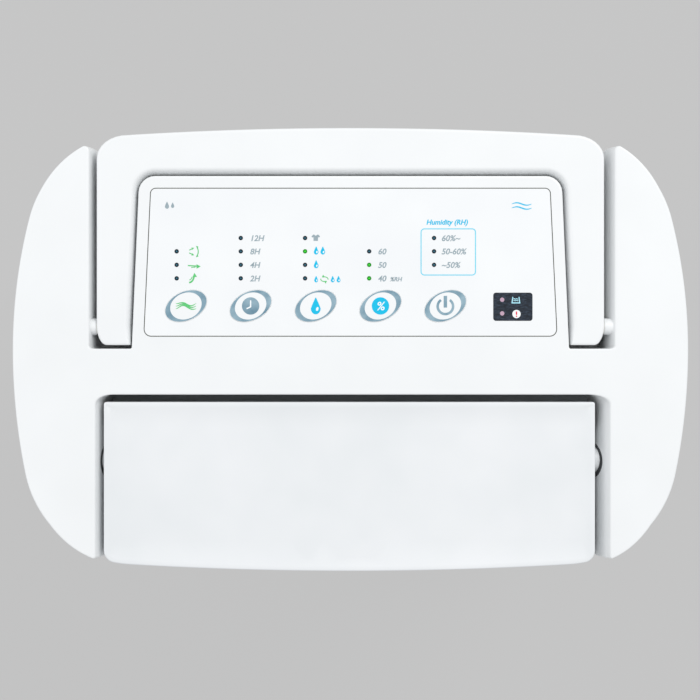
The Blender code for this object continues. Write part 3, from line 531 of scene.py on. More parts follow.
def steel_turned():
    """Mild steel, turned: bright, with fine rings left by the tool along its length."""
    made, tree, shader, spot = new_finish("steel_turned", Metallic=1.0, Roughness=0.3)
    fine = add_node(tree, "ShaderNodeMapping", {"Scale": (0.1, 1.0, 0.1)}, spot)
    rings = add_node(tree, "ShaderNodeTexNoise", {"Scale": 2500.0}, {"Vector": (fine, "Vector")})
    shaded(tree, shader, rings, "Fac", "A2A6AA", "C4C8CB")
    relief(tree, shader, rings, "Fac", 0.01)
    return made


def steel_galvanised():
    """Steel, galvanised: a dull grey with crystals of zinc about 9 mm across."""
    made, tree, shader, spot = new_finish("steel_galvanised", Metallic=1.0, Roughness=0.45)
    values = {"Scale": 1000 / 9.0}
    crystals = add_node(tree, "ShaderNodeTexVoronoi", values, spot)
    shaded(tree, shader, crystals, "Color", "8E9397", "BCC1C5", 0.1, 0.9)
    values = {"To Min": 0.35, "To Max": 0.6}
    rough = add_node(tree, "ShaderNodeMapRange", values, {"Value": (crystals, "Color")})
    tree.links.new(rough.outputs["Result"], shader.inputs["Roughness"])
    return made


def laminate_masked():
    """Glass-epoxy board under green solder mask: tracks 1.5 mm wide stand a little proud."""
    made, tree, shader, spot = new_finish("laminate_masked", Roughness=0.35, IOR=1.55)
    values = {"Scale": 1000 / 5.0, "Randomness": 0.0}
    settings = {"distance": "CHEBYCHEV", "feature": "F1"}
    tracks = add_node(tree, "ShaderNodeTexVoronoi", values, spot, **settings)
    shaded(tree, shader, tracks, "Distance", "1B5236", "2C7A4E", 0.35, 0.42)
    relief(tree, shader, tracks, "Distance", 0.03)
    return made


WAVE_UNIT = 1 / 3.18  # a wave texture's scale for one band in a metre


def ceramic_paper_corrugated():
    """Ceramic paper, corrugated, wound and coated with zeolite: rings of cells 2.6 mm deep."""
    made, tree, shader, spot = new_finish("ceramic_paper_corrugated", Roughness=0.92)
    x, _, z = sum(corners("desiccant_rotor")) / 2 * MM
    values = {"Location": (-x, 0, -z)}
    centred = add_node(tree, "ShaderNodeMapping", values, spot)
    values = {"Scale": WAVE_UNIT / 0.0026, "Distortion": 0.0}
    settings = {"wave_type": "RINGS", "rings_direction": "Y"}
    wound = add_node(tree, "ShaderNodeTexWave", values, {"Vector": (centred, "Vector")}, **settings)
    values = {"Scale": 1000 / 2.4, "Randomness": 0.35}
    cells = add_node(tree, "ShaderNodeTexVoronoi", values, {"Vector": (centred, "Vector")})
    links = {0: (wound, "Fac"), 1: (cells, "Distance")}
    both = add_node(tree, "ShaderNodeMath", (), links, operation="MULTIPLY")
    shaded(tree, shader, both, "Value", "D9D2C0", "7D7668", 0.05, 0.45)
    relief(tree, shader, both, "Value", -0.6)
    return made


def polystyrene_expanded():
    """Polystyrene, expanded: white beads 3 mm across, pressed together."""
    made, tree, shader, spot = new_finish("polystyrene_expanded", Roughness=0.8)
    values = {"Scale": 1000 / 3.0}
    beads = add_node(tree, "ShaderNodeTexVoronoi", values, spot)
    shaded(tree, shader, beads, "Distance", "F4F5F5", "D9DCDD", 0.2, 0.8)
    relief(tree, shader, beads, "Distance", -0.3)
    return made


def polyester_woven():
    """Polyester net, woven: dark threads every 1.4 mm both ways, with the light between them."""
    made, tree, shader, spot = new_finish("polyester_woven", Roughness=0.7)
    scale = {"Scale": WAVE_UNIT / 0.0014 / 2}
    across = add_node(tree, "ShaderNodeTexWave", scale, spot, bands_direction="X")
    upward = add_node(tree, "ShaderNodeTexWave", scale, spot, bands_direction="Z")
    links = {0: (across, "Fac"), 1: (upward, "Fac")}
    net = add_node(tree, "ShaderNodeMath", (), links, operation="MAXIMUM")
    shaded(tree, shader, net, "Value", "1E242A", "6C7780", 0.55, 0.85)
    relief(tree, shader, net, "Value", 0.3)
    return made


# Thermoplastic rubber is matt, near black and paler where it is scuffed. Polypropylene is milky,
# waxy and a little see-through. Acetal is a slippery cream white. Sintered ferrite is dark and
# grainy. Clear SAN, styrene-acrylonitrile, is glossy with a slight blue in its edges.
FINISHES = {
    "white_abs": abs_moulded("abs_moulded_white", "E7E9EA", "EAECED", 0.38),
    # painted shade: a darker copy of the white ABS, so that the louver flap, which is white ABS
    # too, looks as if it lay in shade
    "flap_abs_painted_shade": abs_moulded("abs_moulded_flap_painted_shade", "DFE2E4", "E5E7E9", 0.36),
    "grey_abs": abs_moulded("abs_moulded_grey", "BFC4C8", "CCD0D3", 0.45),
    "black_abs": abs_moulded("abs_moulded_black", "26282B", "303336", 0.5),
    "film": film_printed(),
    "key": abs_moulded("abs_polished_white", "E9EBEC", "EBEDEE", 0.3, 1.5),
    "dark_window": acrylic_smoked(),
    "clear_san": drifting(
        "san_clear", "E3EEF4", "EEF5F9", 60, detail=1.0,
        Roughness=0.08, IOR=1.57, Transmission_Weight=0.9,
    ),
    "rubber": drifting(
        "rubber_moulded", "2A2C2F", "3D4043", 6, 0.7, 0.05, 4.0, Roughness=0.85, IOR=1.52
    ),
    "steel": steel_turned(),
    "galvanised": steel_galvanised(),
    "board": laminate_masked(),
    "zeolite": ceramic_paper_corrugated(),
    "polypropylene": drifting(
        "polypropylene_moulded", "DCE3E7", "ECF0F2", 25, 1.5, 0.03,
        Roughness=0.42, IOR=1.49, Transmission_Weight=0.25,
    ),
    "pom": drifting(
        "acetal_moulded", "E6E3D8", "F2F0E9", 12, 0.8, 0.01, Roughness=0.35, IOR=1.48
    ),
    "foam": polystyrene_expanded(),
    "mesh": polyester_woven(),
    "magnet": drifting(
        "ferrite_sintered", "3E4044", "5C5F64", 0.8, detail=3.0, Metallic=0.6, Roughness=0.5
    ),
    # painted shade: the dark olive adhesive that shows round the film's edge stands for the shade
    # in the gap there
    "adhesive_painted_shade": ink("adhesive_edge_painted_shade", "5A5C52", "6E7066"),
    "ink_ring": ink("ink_ring_blue_grey", "66889A", "93AEBB", 7.0),
    "ink_figures": ink("ink_pale_grey", "8FA0A8", "9AAAB1"),
    "ink_cyan": ink("ink_cyan", "00B4DC", "0ABEE4"),
    "ink_sky": ink("ink_sky_blue", "66CBE4", "78D3EA"),
    "ink_ice": ink("ink_ice_blue", "9ADDEF", "B8E8F4"),
    "ink_green": ink("ink_green", "4DBB68", "66C97C"),
    "ink_white": ink("ink_white", "ECF0F2", "F4F6F6"),
    "ink_red": ink("ink_red", "D0304A", "DC3C55"),
    "lamp_dark": lamp("lamp_dark_teal", "061C28"),
    # painted highlight: the paler teal middle of each lamp that is off
    "lamp_painted_highlight": lamp("lamp_painted_highlight", "2A6478"),
    "lamp_green": lamp("lamp_lit_green", "0E8418", 0.1),
    "lamp_bright": lamp("lamp_bright_green", "35C026", 0.4),
    "lamp_rose": lamp("lamp_rose", "BC9DB0"),
}


def finish_cad_nodes():
    """Every CAD node takes the material of its own slot in the record."""
    for row in frame["record"]["subparts"]:
        mesh = frame["nodes"][row["node"]].data
        mesh.materials.clear()
        mesh.materials.append(FINISHES[row["material_slot"]])


# --- top cover


def key_loop(x, grow=0.0):
    return ellipse((x, KEY_Y), (KEY_HALF[0] + grow, KEY_HALF[1] + grow), KEY_TILT)


def window_loop(grow=0.0):
    (x0, y0, _), (x1, y1, _) = WINDOW_LOW, WINDOW_HIGH
    return rectangle(x0 - grow, x1 + grow, y0 - grow, y1 + grow, 1.3 + grow, 2.0)


def film_loop(grow=0.0):
    """The film's outline: a little narrower at its back."""
    (front_half, front), (back_half, back) = FILM
    runs = joined((-front_half, front), (front_half, front), (back_half, back), (-back_half, back))
    return inset(closed_loop(runs, [3.4, 2.3, 2.3, 3.4]), -grow)


def cover_loop():
    """The cover's plan: two wings and a crossbar, with the plinth in the handle's pocket."""
    wing = outline_run(front_at(RECESS_HALF), back_at(POCKET_HALF))
    (plinth_front, _), (plinth_back, plinth_end) = PLINTH
    right = [
        (RECESS_HALF, RECESS_REAR),
        wing,
        (POCKET_HALF, POCKET_FRONT),
        (plinth_front, POCKET_FRONT),
        (plinth_back, plinth_end),
    ]
    left = [np.atleast_2d(part)[::-1] * (-1, 1) for part in right[::-1]]
    cuts = [1.7, 4.0, 1.5, 0.8, PLINTH_CORNER, PLINTH_CORNER, 0.8, 1.5, 4.0, 1.7, 5.0, 5.0]
    return closed_loop(joined(*right, *left), cuts, 3.0)


def sloped(x, y, depth):
    """X moved out where a wing's inner wall slopes: by the flare at the top, by none under it.

    The move falls with the depth's share left to the power 1.6, so that the slope is gentle at its
    top. It fades along straight lines over the next 26 mm of the wing and to the crossbar's middle.
    """
    middle, reach = (RECESS_REAR + POCKET_FRONT) / 2, (POCKET_FRONT - RECESS_REAR) / 2
    in_front = y < middle
    half = np.where(in_front, RECESS_HALF, POCKET_HALF)
    flare = np.where(in_front, RECESS_FLARE, POCKET_FLARE) * np.where(x < 0, LEFT_FLARE, 1)
    near = np.clip(abs(y - middle) / reach, 0, 1)
    out = abs(x) - half
    share = np.clip(1 - out / 26, 0, 1) * np.clip(out / 5 + 1, 0, 1) * near
    return x + np.sign(x) * flare * share * np.clip(1 - depth / SLOPE_DEPTH, 0, 1) ** 1.6


def cover_place(x, y, depth):
    """The cover's top: level between its wings, which fall away by the square of their width."""
    out = np.clip((abs(x) - SIDE_EDGE) / (HALF_WIDTH - SIDE_EDGE), 0, 1)
    fall = WING_FALL * out**2 * np.clip(1 - depth / 24, 0, 1)
    return np.stack([sloped(x, y, depth), y, DECK - depth - fall], 1)


def smoothed(values, reach=3):
    """A moving average round a closed outline."""
    return sum(np.roll(values, step) for step in range(-reach, reach + 1)) / (2 * reach + 1)


def make_top_cover():
    loop = cover_loop()
    x, y = abs(loop[:, 0]), loop[:, 1]
    in_pocket = (y > POCKET_FRONT - 0.1) & (x < POCKET_HALF + 0.1)
    in_recess = (y < RECESS_REAR + 0.1) & (x < RECESS_HALF + 0.1)
    on_plinth = in_pocket & (x < PLINTH[0][0] + 0.1) & (y > POCKET_FRONT + 1)
    at_pocket_front = in_pocket & (y < POCKET_FRONT + 1)
    soft = np.select([at_pocket_front, on_plinth, in_pocket, in_recess], [0.6, 1.0, 0.9, 0.6], 0.7)
    soft = smoothed(soft)
    reach = np.where(in_pocket, DECK - POCKET_FLOOR + 1, DECK - COVER_FOOT)
    slope = [(0.0, depth) for depth in (2.5, 4.5, 7.0, 10.0, SLOPE_DEPTH)]
    steps = [*quarter(soft), *slope, (0.0, reach), (WALL, reach), (WALL, ROOF)]
    rings = carried(loop, steps)
    holes = [*[key_loop(spot, 0.3)[::-1] for spot in KEY_X.values()], window_loop(0.3)[::-1]]
    bed = film_loop(0.45)
    patches = [
        filled([rings[0][0], bed[::-1]], 0, cover_place),
        walls(rings, cover_place),
        walls([(bed[::-1], 0), (bed[::-1], FILM_RECESS)], cover_place),
        filled([bed, *holes], FILM_RECESS, cover_place),
        *[walls([(hole, FILM_RECESS), (hole, ROOF)], cover_place) for hole in holes],
        filled([rings[-1][0], *holes], ROOF, cover_place, inward=True),
    ]
    piece("top_cover_shell", patches, "white_abs", node="top_cover")
    make_pocket()
    make_pivots()


def make_pivots():
    """On the wings' inner walls: a boss at each handle pin, a dark bush at each trunnion, whose
    black also paints the shade of the clearance gap round the trunnion.
    """
    bosses, bushes_painted_shade = [], []
    for side in (-1, 1):
        profile = np.array([(0, 131.2), (4.1, 131.2), (4.1, 126.6), (3.8, 126.3), (0, 126.3)])
        profile = profile * (1, side)
        bosses.append(turned(profile[::side], HANDLE_AXIS, "X", 32))

        def on_slope(u, z, depth):
            y, x = -side * u, np.full(len(u), side * RECESS_HALF)
            return np.stack([sloped(x, y, DECK - z) - side * (0.25 - depth), y, z], 1)

        # the bush is black partly as painted shade for the clearance gap round the trunnion
        ring = ellipse((-side * (LOUVER_AXIS[0] - 0.5), LOUVER_AXIS[1]), (8.2, 8.2))
        bushes_painted_shade += moulding([ring], [(0.2, 0), (0, 0.2), (0, 1.2)], on_slope, 2.0)
    piece("handle_bosses", bosses, "white_abs", node="top_cover")
    piece("trunnion_bushes_painted_shade", bushes_painted_shade, "black_abs")


def ledge(name, loop, level, reach, shown):
    """A tray at a level: its rim is rounded where it shows, and turns down by its reach."""
    soft = np.where(shown, 1.0, 0.1)
    steps = [*quarter(soft, 3, 0.3), (0.0, reach), (WALL, reach), (WALL, WALL)]
    tray = moulding([loop], steps, at_level(level))
    piece(name, tray, "white_abs", node="top_cover")


def make_pocket():
    """The tray that the handle lies over, notched for fingers, and the scoop under the notch."""
    edge, front = POCKET_HALF + 1.8, POCKET_FRONT - 1.9
    right_back = outline_run(back_at(edge), back_at(SCOOP_HALF))
    left_back = (right_back * (-1, 1))[::-1]
    notch = [(SCOOP_HALF, SCOOP_FRONT), (-SCOOP_HALF, SCOOP_FRONT)]
    runs = joined((-edge, front), (edge, front), right_back, *notch, left_back)
    loop = closed_loop(runs, [0, 0, 0, 3.0, 3.0, 0, 0, 0])
    at_back = on_back(loop)
    at_notch = (abs(loop[:, 0]) < SCOOP_HALF + 1) & (loop[:, 1] > SCOOP_FRONT - 1)
    reach = np.where(at_notch, POCKET_FLOOR - SCOOP_FLOOR + WALL, WALL)
    reach = np.where(at_back, POCKET_FLOOR - COVER_FOOT, reach)
    ledge("handle_pocket", loop, POCKET_FLOOR, reach, at_back | at_notch)

    half, front = SCOOP_HALF + 1.5, SCOOP_FRONT - 1.5
    rear = outline_run(back_at(half), back_at(-half))
    loop = closed_loop(joined((-half, front), (half, front), rear), [0, 0, 0, 0])
    reach = np.where(on_back(loop), SCOOP_FLOOR - COVER_FOOT, WALL)
    ledge("finger_scoop", loop, SCOOP_FLOOR, reach, on_back(loop))


def on_back(loop):
    """Whether each point lies by a point of the plan's outline, in the back's last 25 mm."""
    gaps = np.hypot(*(loop[:, None] - PLAN[None]).transpose(2, 0, 1)).min(1)
    return (gaps < OUTLINE_STEP) & (loop[:, 1] > HALF_DEPTH - 25)


# --- handle and louver


def handle_place(x, y, depth):
    """The handle's levels: its depth thins to a round under each arm's pivot."""
    ahead = np.clip(HANDLE_FRONT + 8 - y, 0, 8)
    thick = HANDLE_DEPTH - 8 + np.sqrt(np.maximum(64 - ahead**2, 0))
    return np.stack([x, y, DECK - depth * thick / HANDLE_DEPTH], 1)


def make_handle():
    """A bail whose back follows the housing and whose inner edge follows the plinth."""
    half, front = HANDLE_HALF, HANDLE_FRONT
    corner_x, corner_y = 15.0, 11.5
    back_x = half - corner_x
    rear = outline_run(back_at(back_x), back_at(-back_x))
    back_y = rear[0][1]
    foot_x = PLINTH[0][0] + PLINTH_GAP
    inner_x = PLINTH[1][0] + PLINTH_GAP
    runs = joined(
        (half, front),
        np.concatenate([[(half, back_y)], rear, [(-half, back_y)]]),
        (-half, front),
        (-foot_x, front),
        (-inner_x, HANDLE_BAR),
        (inner_x, HANDLE_BAR),
        (foot_x, front),
    )
    inner = PLINTH_CORNER + PLINTH_GAP
    back = [(corner_y, corner_x), (corner_x, corner_y)]
    cuts = [*back, (10.0, 5.0), 0.5, inner, inner, 0.5, (5.0, 10.0)]
    loop = closed_loop(runs, cuts, 3.0, 8)
    x, y = abs(loop[:, 0]), loop[:, 1]
    inside_edge = (x < foot_x + 0.2) & (y < HANDLE_BAR + 0.2) & (y > front + 1)
    at_back = y > 95
    soft = smoothed(np.select([inside_edge, at_back], [3.2, 1.2], 1.1), 2)
    tall = smoothed(np.where(inside_edge, 2.6, 1.0), 2)
    low = HANDLE_DEPTH
    turns = np.linspace(0, math.pi / 2, 4)
    under = [(1.5 * (1 - math.cos(t)), low - 1.5 * (1 - math.sin(t))) for t in turns]
    top = [(distance, tall * depth) for distance, depth in quarter(soft, 6)]
    steps = [*top, (0.0, low - 2.0), *under]
    bail = moulding([loop], steps, handle_place, 6.0)
    piece("carry_handle_bail", bail, "white_abs", "handle", node="carry_handle")


def flap_place(x, y, depth):
    """The flap's levels: its top falls away to both ends by the square of the width."""
    fall = FLAP_FALL * (x / FLAP_HALF) ** 2
    return np.stack([x - FLAP_PLAY, y, DECK - depth - fall * np.clip(1 - depth / 10, 0, 1)], 1)


def make_louver():
    """A shallow tray, ribbed underneath, with an ear and a trunnion at each end."""
    start = front_at(-FLAP_HALF)
    front = outline_run(start, -start)
    runs = joined(front, (front[-1][0], FLAP_REAR), (front[0][0], FLAP_REAR))
    loop = closed_loop(runs, [4.8, 1.2, 1.2, 4.8], 3.0)
    reach = np.interp(loop[:, 1], (-40, -36), (FLAP_DEPTH, 8.0))
    rim = [(2.9, 0.12), (2.6, 0.0), *quarter(0.7, 4)]
    steps = [*rim, (0.0, reach - 0.6), (0.6, reach), (WALL, reach), (WALL, WALL)]
    patches = moulding([loop], steps, flap_place)
    for x in (-80, -40, 0, 40, 80):
        rib = rectangle(x - 1, x + 1, -106.5, -29.5)
        patches += moulding([rib], [(0, WALL - 0.3), (0, 8.5), (0.4, 9)], flap_place)
    for side in (-1, 1):
        trunnion = [(0, 129.3), (5.5, 129.3), (6.3, 128.5), (6.3, FLAP_HALF)]
        ear = [(7.7, FLAP_HALF), (8.5, FLAP_HALF - 0.8), (8.5, 119.3), (0, 119.3)]
        profile = np.array(trunnion + ear) * (1, side)
        patches.append(turned(profile[::side], LOUVER_AXIS, "X"))
    # painted shade: the flap's shell takes the darker copy of the white ABS, while its slot stays
    # the white ABS
    piece("louver_flap_shell", patches, "flap_abs_painted_shade", "louver", slot="white_abs", node="louver_flap")


# --- control panel

INK_LOW, INK_HIGH = DECK - 0.02, DECK + 0.04
CAP_TOP = KEY_TOP - 0.08


def printed(loops, place=at_level(INK_HIGH), gap=6.0, lift=0.0):
    """A printed shape: its region, a few hundredths of a millimetre thick."""
    return moulding(loops, [(0, -lift), (0, INK_HIGH - INK_LOW)], place, gap)


def printed_each(shapes, place=at_level(INK_HIGH), gap=6.0):
    """Several printed shapes, each a few microns above the one before where they overlap."""
    return [
        patch
        for index, shape in enumerate(shapes)
        for patch in printed(shape, place, gap, 0.003 * index)
    ]


def stroke(path, width):
    """A closed outline round a path, half the width to each side; the width may vary along it."""
    path = np.asarray(path, float)
    heading = np.gradient(path, axis=0)
    heading = heading / np.hypot(*heading.T)[:, None]
    half = np.broadcast_to(width, (len(path),))[:, None] / 2
    side = np.stack([-heading[:, 1], heading[:, 0]], 1) * half
    return np.concatenate([path - side, (path + side)[::-1]])


def lettering(text, x, y, size, shear=0.22, weight=0.09, align="LEFT"):
    """Printed figures as a patch: the letters' outlines, slanted and given the ink's thickness."""
    curve = bpy.data.curves.new("figures", "FONT")
    curve.body, curve.size, curve.shear, curve.offset = text, size, shear, weight
    curve.align_x, curve.extrude = align, (INK_HIGH - INK_LOW) / 2
    curve.resolution_u = 4
    holder = added("figures", curve)
    mesh = holder.evaluated_get(bpy.context.evaluated_depsgraph_get()).to_mesh()
    mesh.calc_loop_triangles()
    points = np.zeros(len(mesh.vertices) * 3)
    mesh.vertices.foreach_get("co", points)
    faces = np.zeros(len(mesh.loop_triangles) * 3, int)
    mesh.loop_triangles.foreach_get("vertices", faces)
    bpy.data.objects.remove(holder)
    bpy.data.curves.remove(curve)
    return points.reshape(-1, 3) + (x, y, (INK_LOW + INK_HIGH) / 2), faces.reshape(-1, 3)


def drop_loop(x, y, height):
    """A drop: an ellipse below; above, its width is the cosine times one less 0.7 of the sine."""
    turn = np.linspace(0, 2 * math.pi, 40, endpoint=False)
    rise = np.clip(np.sin(turn), 0, 1)
    u = 0.285 * height * np.cos(turn) * (1 - 0.7 * rise)
    v = np.where(rise > 0, 0.64, 0.34) * height * np.sin(turn)
    return np.stack([x + u, y - 0.15 * height + v], 1)


def make_controls():
    """The film on its adhesive, the keys in it and the window beside them. The adhesive is dark
    where it shows round the film's edge: painted shade for the gap there.
    """
    holes = [*[key_loop(spot, 0.06)[::-1] for spot in KEY_X.values()], window_loop(0.06)[::-1]]
    steps = [(0.02, 0), (0, 0.02), (0, FILM_THICK)]
    film = moulding([film_loop(), *holes], steps, at_level(DECK))
    piece("control_film_sheet", film, "film", node="control_film")
    # painted shade: the dark adhesive shows in a narrow band round the film's edge, in place of the
    # shade in that gap
    glue_painted_shade = moulding([film_loop(0.4), *holes], [(0, 0), (0, 0.3)], at_level(DECK - FILM_THICK))
    piece("film_adhesive_painted_shade", glue_painted_shade, "adhesive_painted_shade", slot="film")
    pane = moulding([window_loop()], [*quarter(0.08, 2, 0.1), (0, 3.6)], at_level(DECK))
    piece("indicator_window_pane", pane, "dark_window", node="indicator_window")
    for name, x in KEY_X.items():
        make_key(name, x)


def cap_place(x, lift=0.0):
    """A cap's levels round its middle: crowned by the square of the distance from it."""

    def place(u, v, depth):
        crown = 0.2 * ((u - x) ** 2 + (v - KEY_Y) ** 2) / KEY_HALF[0] ** 2
        return np.stack([u, v, CAP_TOP + lift - depth - crown * np.clip(1 - depth, 0, 1)], 1)

    return place


def make_key(name, x):
    """A key's cap with its flange, and its printed ring, which is wide at the ellipse's ends."""
    under = CAP_TOP - (DECK - ROOF - 0.3)
    steps = [*quarter(0.1, 2, 0.1), (0, under), (-1.5, under), (-1.5, under + 2.2)]
    cap = moulding([key_loop(x)], steps, cap_place(x), 2.0)
    foot = CAP_TOP - under
    stem = [(0, foot - 2), (2, foot - 2), (2, foot - 4.4), (0, foot - 4.4)]
    cap.append(turned(stem, (x, KEY_Y), "Z", 24))
    piece(f"{name}_key_cap", cap, "key", f"{name}_button", node=f"{name}_key")
    ring = [key_loop(x, -0.22), ellipse((x, KEY_Y), (8.1, 6.4), KEY_TILT)[::-1]]
    ring = printed(ring, cap_place(x, 0.04), 1.5)
    piece(f"{name}_ring_print", ring, "ink_ring", f"{name}_button", slot="key")


WAVE_POINTS = 24


def tapering():
    """Widths along a stroke that swells from a point and back, by the square root of a sine."""
    return 0.08 + 0.55 * np.sqrt(np.sin(np.linspace(0, math.pi, WAVE_POINTS)))


def arrowhead(x, y, heading, size):
    """A triangle whose point lies at (x, y), heading this way in degrees."""
    turn = math.radians(heading) + np.array([0, 2.65, -2.65])
    reach = size * np.array([0, 1.15, 1.15])
    return np.stack([x + reach * np.cos(turn), y + reach * np.sin(turn)], 1)


def make_key_prints():
    """What is printed on each key's cap."""

    def on_cap(name, part_name, loops, finish, lift=0.04):
        patches = printed_each(loops, cap_place(KEY_X[name], lift), 1.5)
        piece(f"{name}_{part_name}", patches, finish, f"{name}_button", slot="key")

    x = KEY_X["airflow"]
    share = np.linspace(0, 1, WAVE_POINTS)
    waves = []
    for step in (-1, 0, 1):
        swing = 1.0 * np.sin(2 * math.pi * share - 0.5) * np.sin(math.pi * share) ** 0.5
        rise = KEY_Y - step * (1.35 - 0.75 * np.sin(math.pi * share)) + swing
        waves.append([stroke(np.stack([x - 5.1 + 10.2 * share, rise], 1), tapering())])
    on_cap("airflow", "waves_print", waves, "ink_green")

    x = KEY_X["timer"]
    on_cap("timer", "clock_print", [[ellipse((x, KEY_Y), (4.3, 4.3))]], "ink_ring")
    tall = stroke([(x, KEY_Y - 0.4), (x, KEY_Y + 2.8)], 0.65)
    short = stroke([(x + 0.2, KEY_Y - 0.3), (x - 2.0, KEY_Y - 1.4)], 0.65)
    on_cap("timer", "hands_print", [[tall], [short]], "ink_white", 0.06)

    x = KEY_X["mode"]
    on_cap("mode", "drop_print", [[drop_loop(x, KEY_Y, 8.5)]], "ink_cyan")
    gleam = ellipse((x + 0.75, KEY_Y - 1.5), (0.6, 1.0), -0.3, 24)
    on_cap("mode", "gleam_print", [[gleam]], "ink_white", 0.06)

    x = KEY_X["humidity"]
    on_cap("humidity", "disc_print", [[ellipse((x, KEY_Y), (4.3, 4.3))]], "ink_cyan")
    sign = lettering("%", x, KEY_Y - 2.05, 5.9, 0.15, 0.06, "CENTER")
    sign = (sign[0] + (0, 0, CAP_TOP + 0.06 - INK_HIGH), sign[1])
    piece("humidity_sign_print", [sign], "ink_white", "humidity_button", slot="key")

    x = KEY_X["power"]
    bow = arc((x, KEY_Y - 0.2), (3.83, 3.83), math.radians(125), math.radians(415), 40)
    bar = stroke([(x, KEY_Y - 0.8), (x, KEY_Y + 5.0)], 1.7)
    on_cap("power", "symbol_print", [[stroke(bow, 1.24)], [bar]], "ink_ring")


LAMP_ROWS = (55.3, 48.7, 42.0, 35.3)
LAMP_COLUMNS = ((-86.2, 1, 4), (-54.4, 0, 4), (-22.5, 0, 4), (9.3, 1, 4), (41.5, 0, 3))
LIT = ((2, 1), (3, 2), (3, 3))
LAMP_RADIUS = 1.1


def make_lamps():
    """Round lamps under the film, each with a paler middle: a painted highlight on the lamps that
    are off, and the lamp's own glow on the lit ones.
    """
    dark, lit, middles, glowing = [], [], [], []
    for column, (x, first, last) in enumerate(LAMP_COLUMNS):
        for row in range(first, last):
            on = (column, row) in LIT
            rim = ellipse((x, LAMP_ROWS[row]), (LAMP_RADIUS, LAMP_RADIUS), 0, 32)
            middle = ellipse((x, LAMP_ROWS[row]), (0.42, 0.42), 0, 16)
            (lit if on else dark).extend(printed([rim]))
            # the paler middle of a lamp that is off is a painted highlight; a lit lamp's middle
            # glows
            (glowing if on else middles).extend(printed([middle], at_level(INK_HIGH + 0.02)))
    rows = (("off", dark, "lamp_dark"), ("lit", lit, "lamp_green"))
    rows += (("off_painted_highlights", middles, "lamp_painted_highlight"), ("lit_middles", glowing, "lamp_bright"))
    for name, patches, finish in rows:
        piece(f"lamps_{name}", patches, finish, slot="film")


def make_labels():
    """The figures beside the lamps, and the frame round the humidity levels."""
    columns = (
        (-49.9, 4.0, ("12H", "8H", "4H", "2H"), LAMP_ROWS),
        (13.6, 4.0, ("60", "50", "40"), LAMP_ROWS[1:]),
        (45.1, 4.05, ("60%~", "50-60%", "~50%"), LAMP_ROWS),
    )
    patches = [
        lettering(text, x, y - 1.45, size)
        for x, size, texts, rows in columns
        for text, y in zip(texts, rows)
    ]
    patches.append(lettering("%RH", 19.6, LAMP_ROWS[3] - 1.4, 2.9))
    piece("figures_print", patches, "ink_figures", slot="film")

    outer = rectangle(34.8, 62.3, 36.7, 60.1, 1.9)
    frame_line = printed([outer, inset(outer, 0.5)[::-1]])
    piece("humidity_frame_print", frame_line, "ink_sky", slot="film")
    title = lettering("Humidity (RH)", 37.6, 62.0, 3.45, 0.22, 0.1)
    piece("humidity_title_print", [title], "ink_cyan", slot="film")


def make_symbols():
    """The small signs beside the airflow and mode lamps, and two plain marks by the film's back."""
    green, cyan, gleam, grey = [], [], [], []

    x, y = -77.8, 48.6
    green.append(stroke(arc((x - 2.0, y), (4.3, 4.3), -0.65, 0.65, 16), 0.5))
    for rise, heading in ((2.6, 128), (-2.6, 232)):
        green.append(arrowhead(x + 1.35, y + rise * 1.1, heading, 1.1))
        green.append(stroke([(x - 2.2, y + rise * 0.25), (x - 0.2, y + rise * 0.62)], 0.45))
        green.append(arrowhead(x + 0.3, y + rise * 0.7, 20 * np.sign(rise), 1.2))
    x, y = -77.4, 41.3
    green.append(stroke([(x - 3.2, y + 0.35), (x + 1.2, y + 0.1)], 0.55))
    green.append(arrowhead(x + 3.1, y - 0.1, 0, 2.0))
    green.append(stroke([(x - 1.6, y - 0.55), (x + 0.6, y - 0.4)], 0.4))
    x, y = -78.6, 35.1
    green.append(stroke(arc((x - 1.6, y + 1.5), (2.6, 3.4), -1.5, 0.1, 14), 0.8))
    green.append(stroke(arc((x - 1.4, y + 2.0), (1.6, 2.6), -1.5, -0.4, 10), 0.4))
    green.append(arrowhead(x + 1.2, y + 2.9, 95, 2.0))

    sizes = [(-17.0, 49.1, 4.1), (-13.7, 49.1, 4.1), (-17.0, 42.3, 4.1)]
    sizes += [(spot, 34.9, 3.3) for spot in (-17.0, -8.8, -5.9)]
    for spot, level, tall in sizes:
        cyan.append(drop_loop(spot, level, tall))
        middle = (spot + 0.09 * tall, level - 0.18 * tall)
        gleam.append(ellipse(middle, (0.09 * tall, 0.14 * tall), -0.3, 16))
    x, y = -12.9, 34.9
    for turn in (0, math.pi):
        green.append(stroke(arc((x, y), (1.8, 1.15), turn - 0.2, turn + 2.1, 12), 0.4))
        tip = (x + 1.9 * math.cos(turn + 2.3), y + 1.25 * math.sin(turn + 2.3))
        green.append(arrowhead(*tip, math.degrees(turn) + 215, 1.2))

    x, y = -17.2, 55.5
    shirt = [(0.0, -1.6), (1.1, -1.6), (1.1, 0.4), (1.6, 0.0)]
    shirt += [(2.15, 0.6), (1.2, 1.5), (0.8, 1.5), (0.0, 0.9)]
    grey.append(mirrored_loop(np.array(shirt)) + (x, y))
    grey += [drop_loop(-91.0, 71.6, 3.6), drop_loop(-88.2, 71.6, 2.8)]

    share = np.linspace(0, 1, WAVE_POINTS)
    for step in (0, 1):
        swing = np.stack([80 + 10 * share, 72.2 - 2 * step + 0.6 * np.sin(2 * math.pi * share)], 1)
        cyan.append(stroke(swing, tapering()))
    for name, loops, finish, lift in (
        ("green_signs", green, "ink_green", 0),
        ("drop_signs", cyan, "ink_cyan", 0),
        ("drop_gleams", gleam, "ink_white", 0.02),
        ("grey_signs", grey, "ink_figures", 0),
    ):
        shapes = [[anticlockwise(loop)] for loop in loops]
        patches = printed_each(shapes, at_level(INK_HIGH + lift))
        piece(f"{name}_print", patches, finish, slot="film")


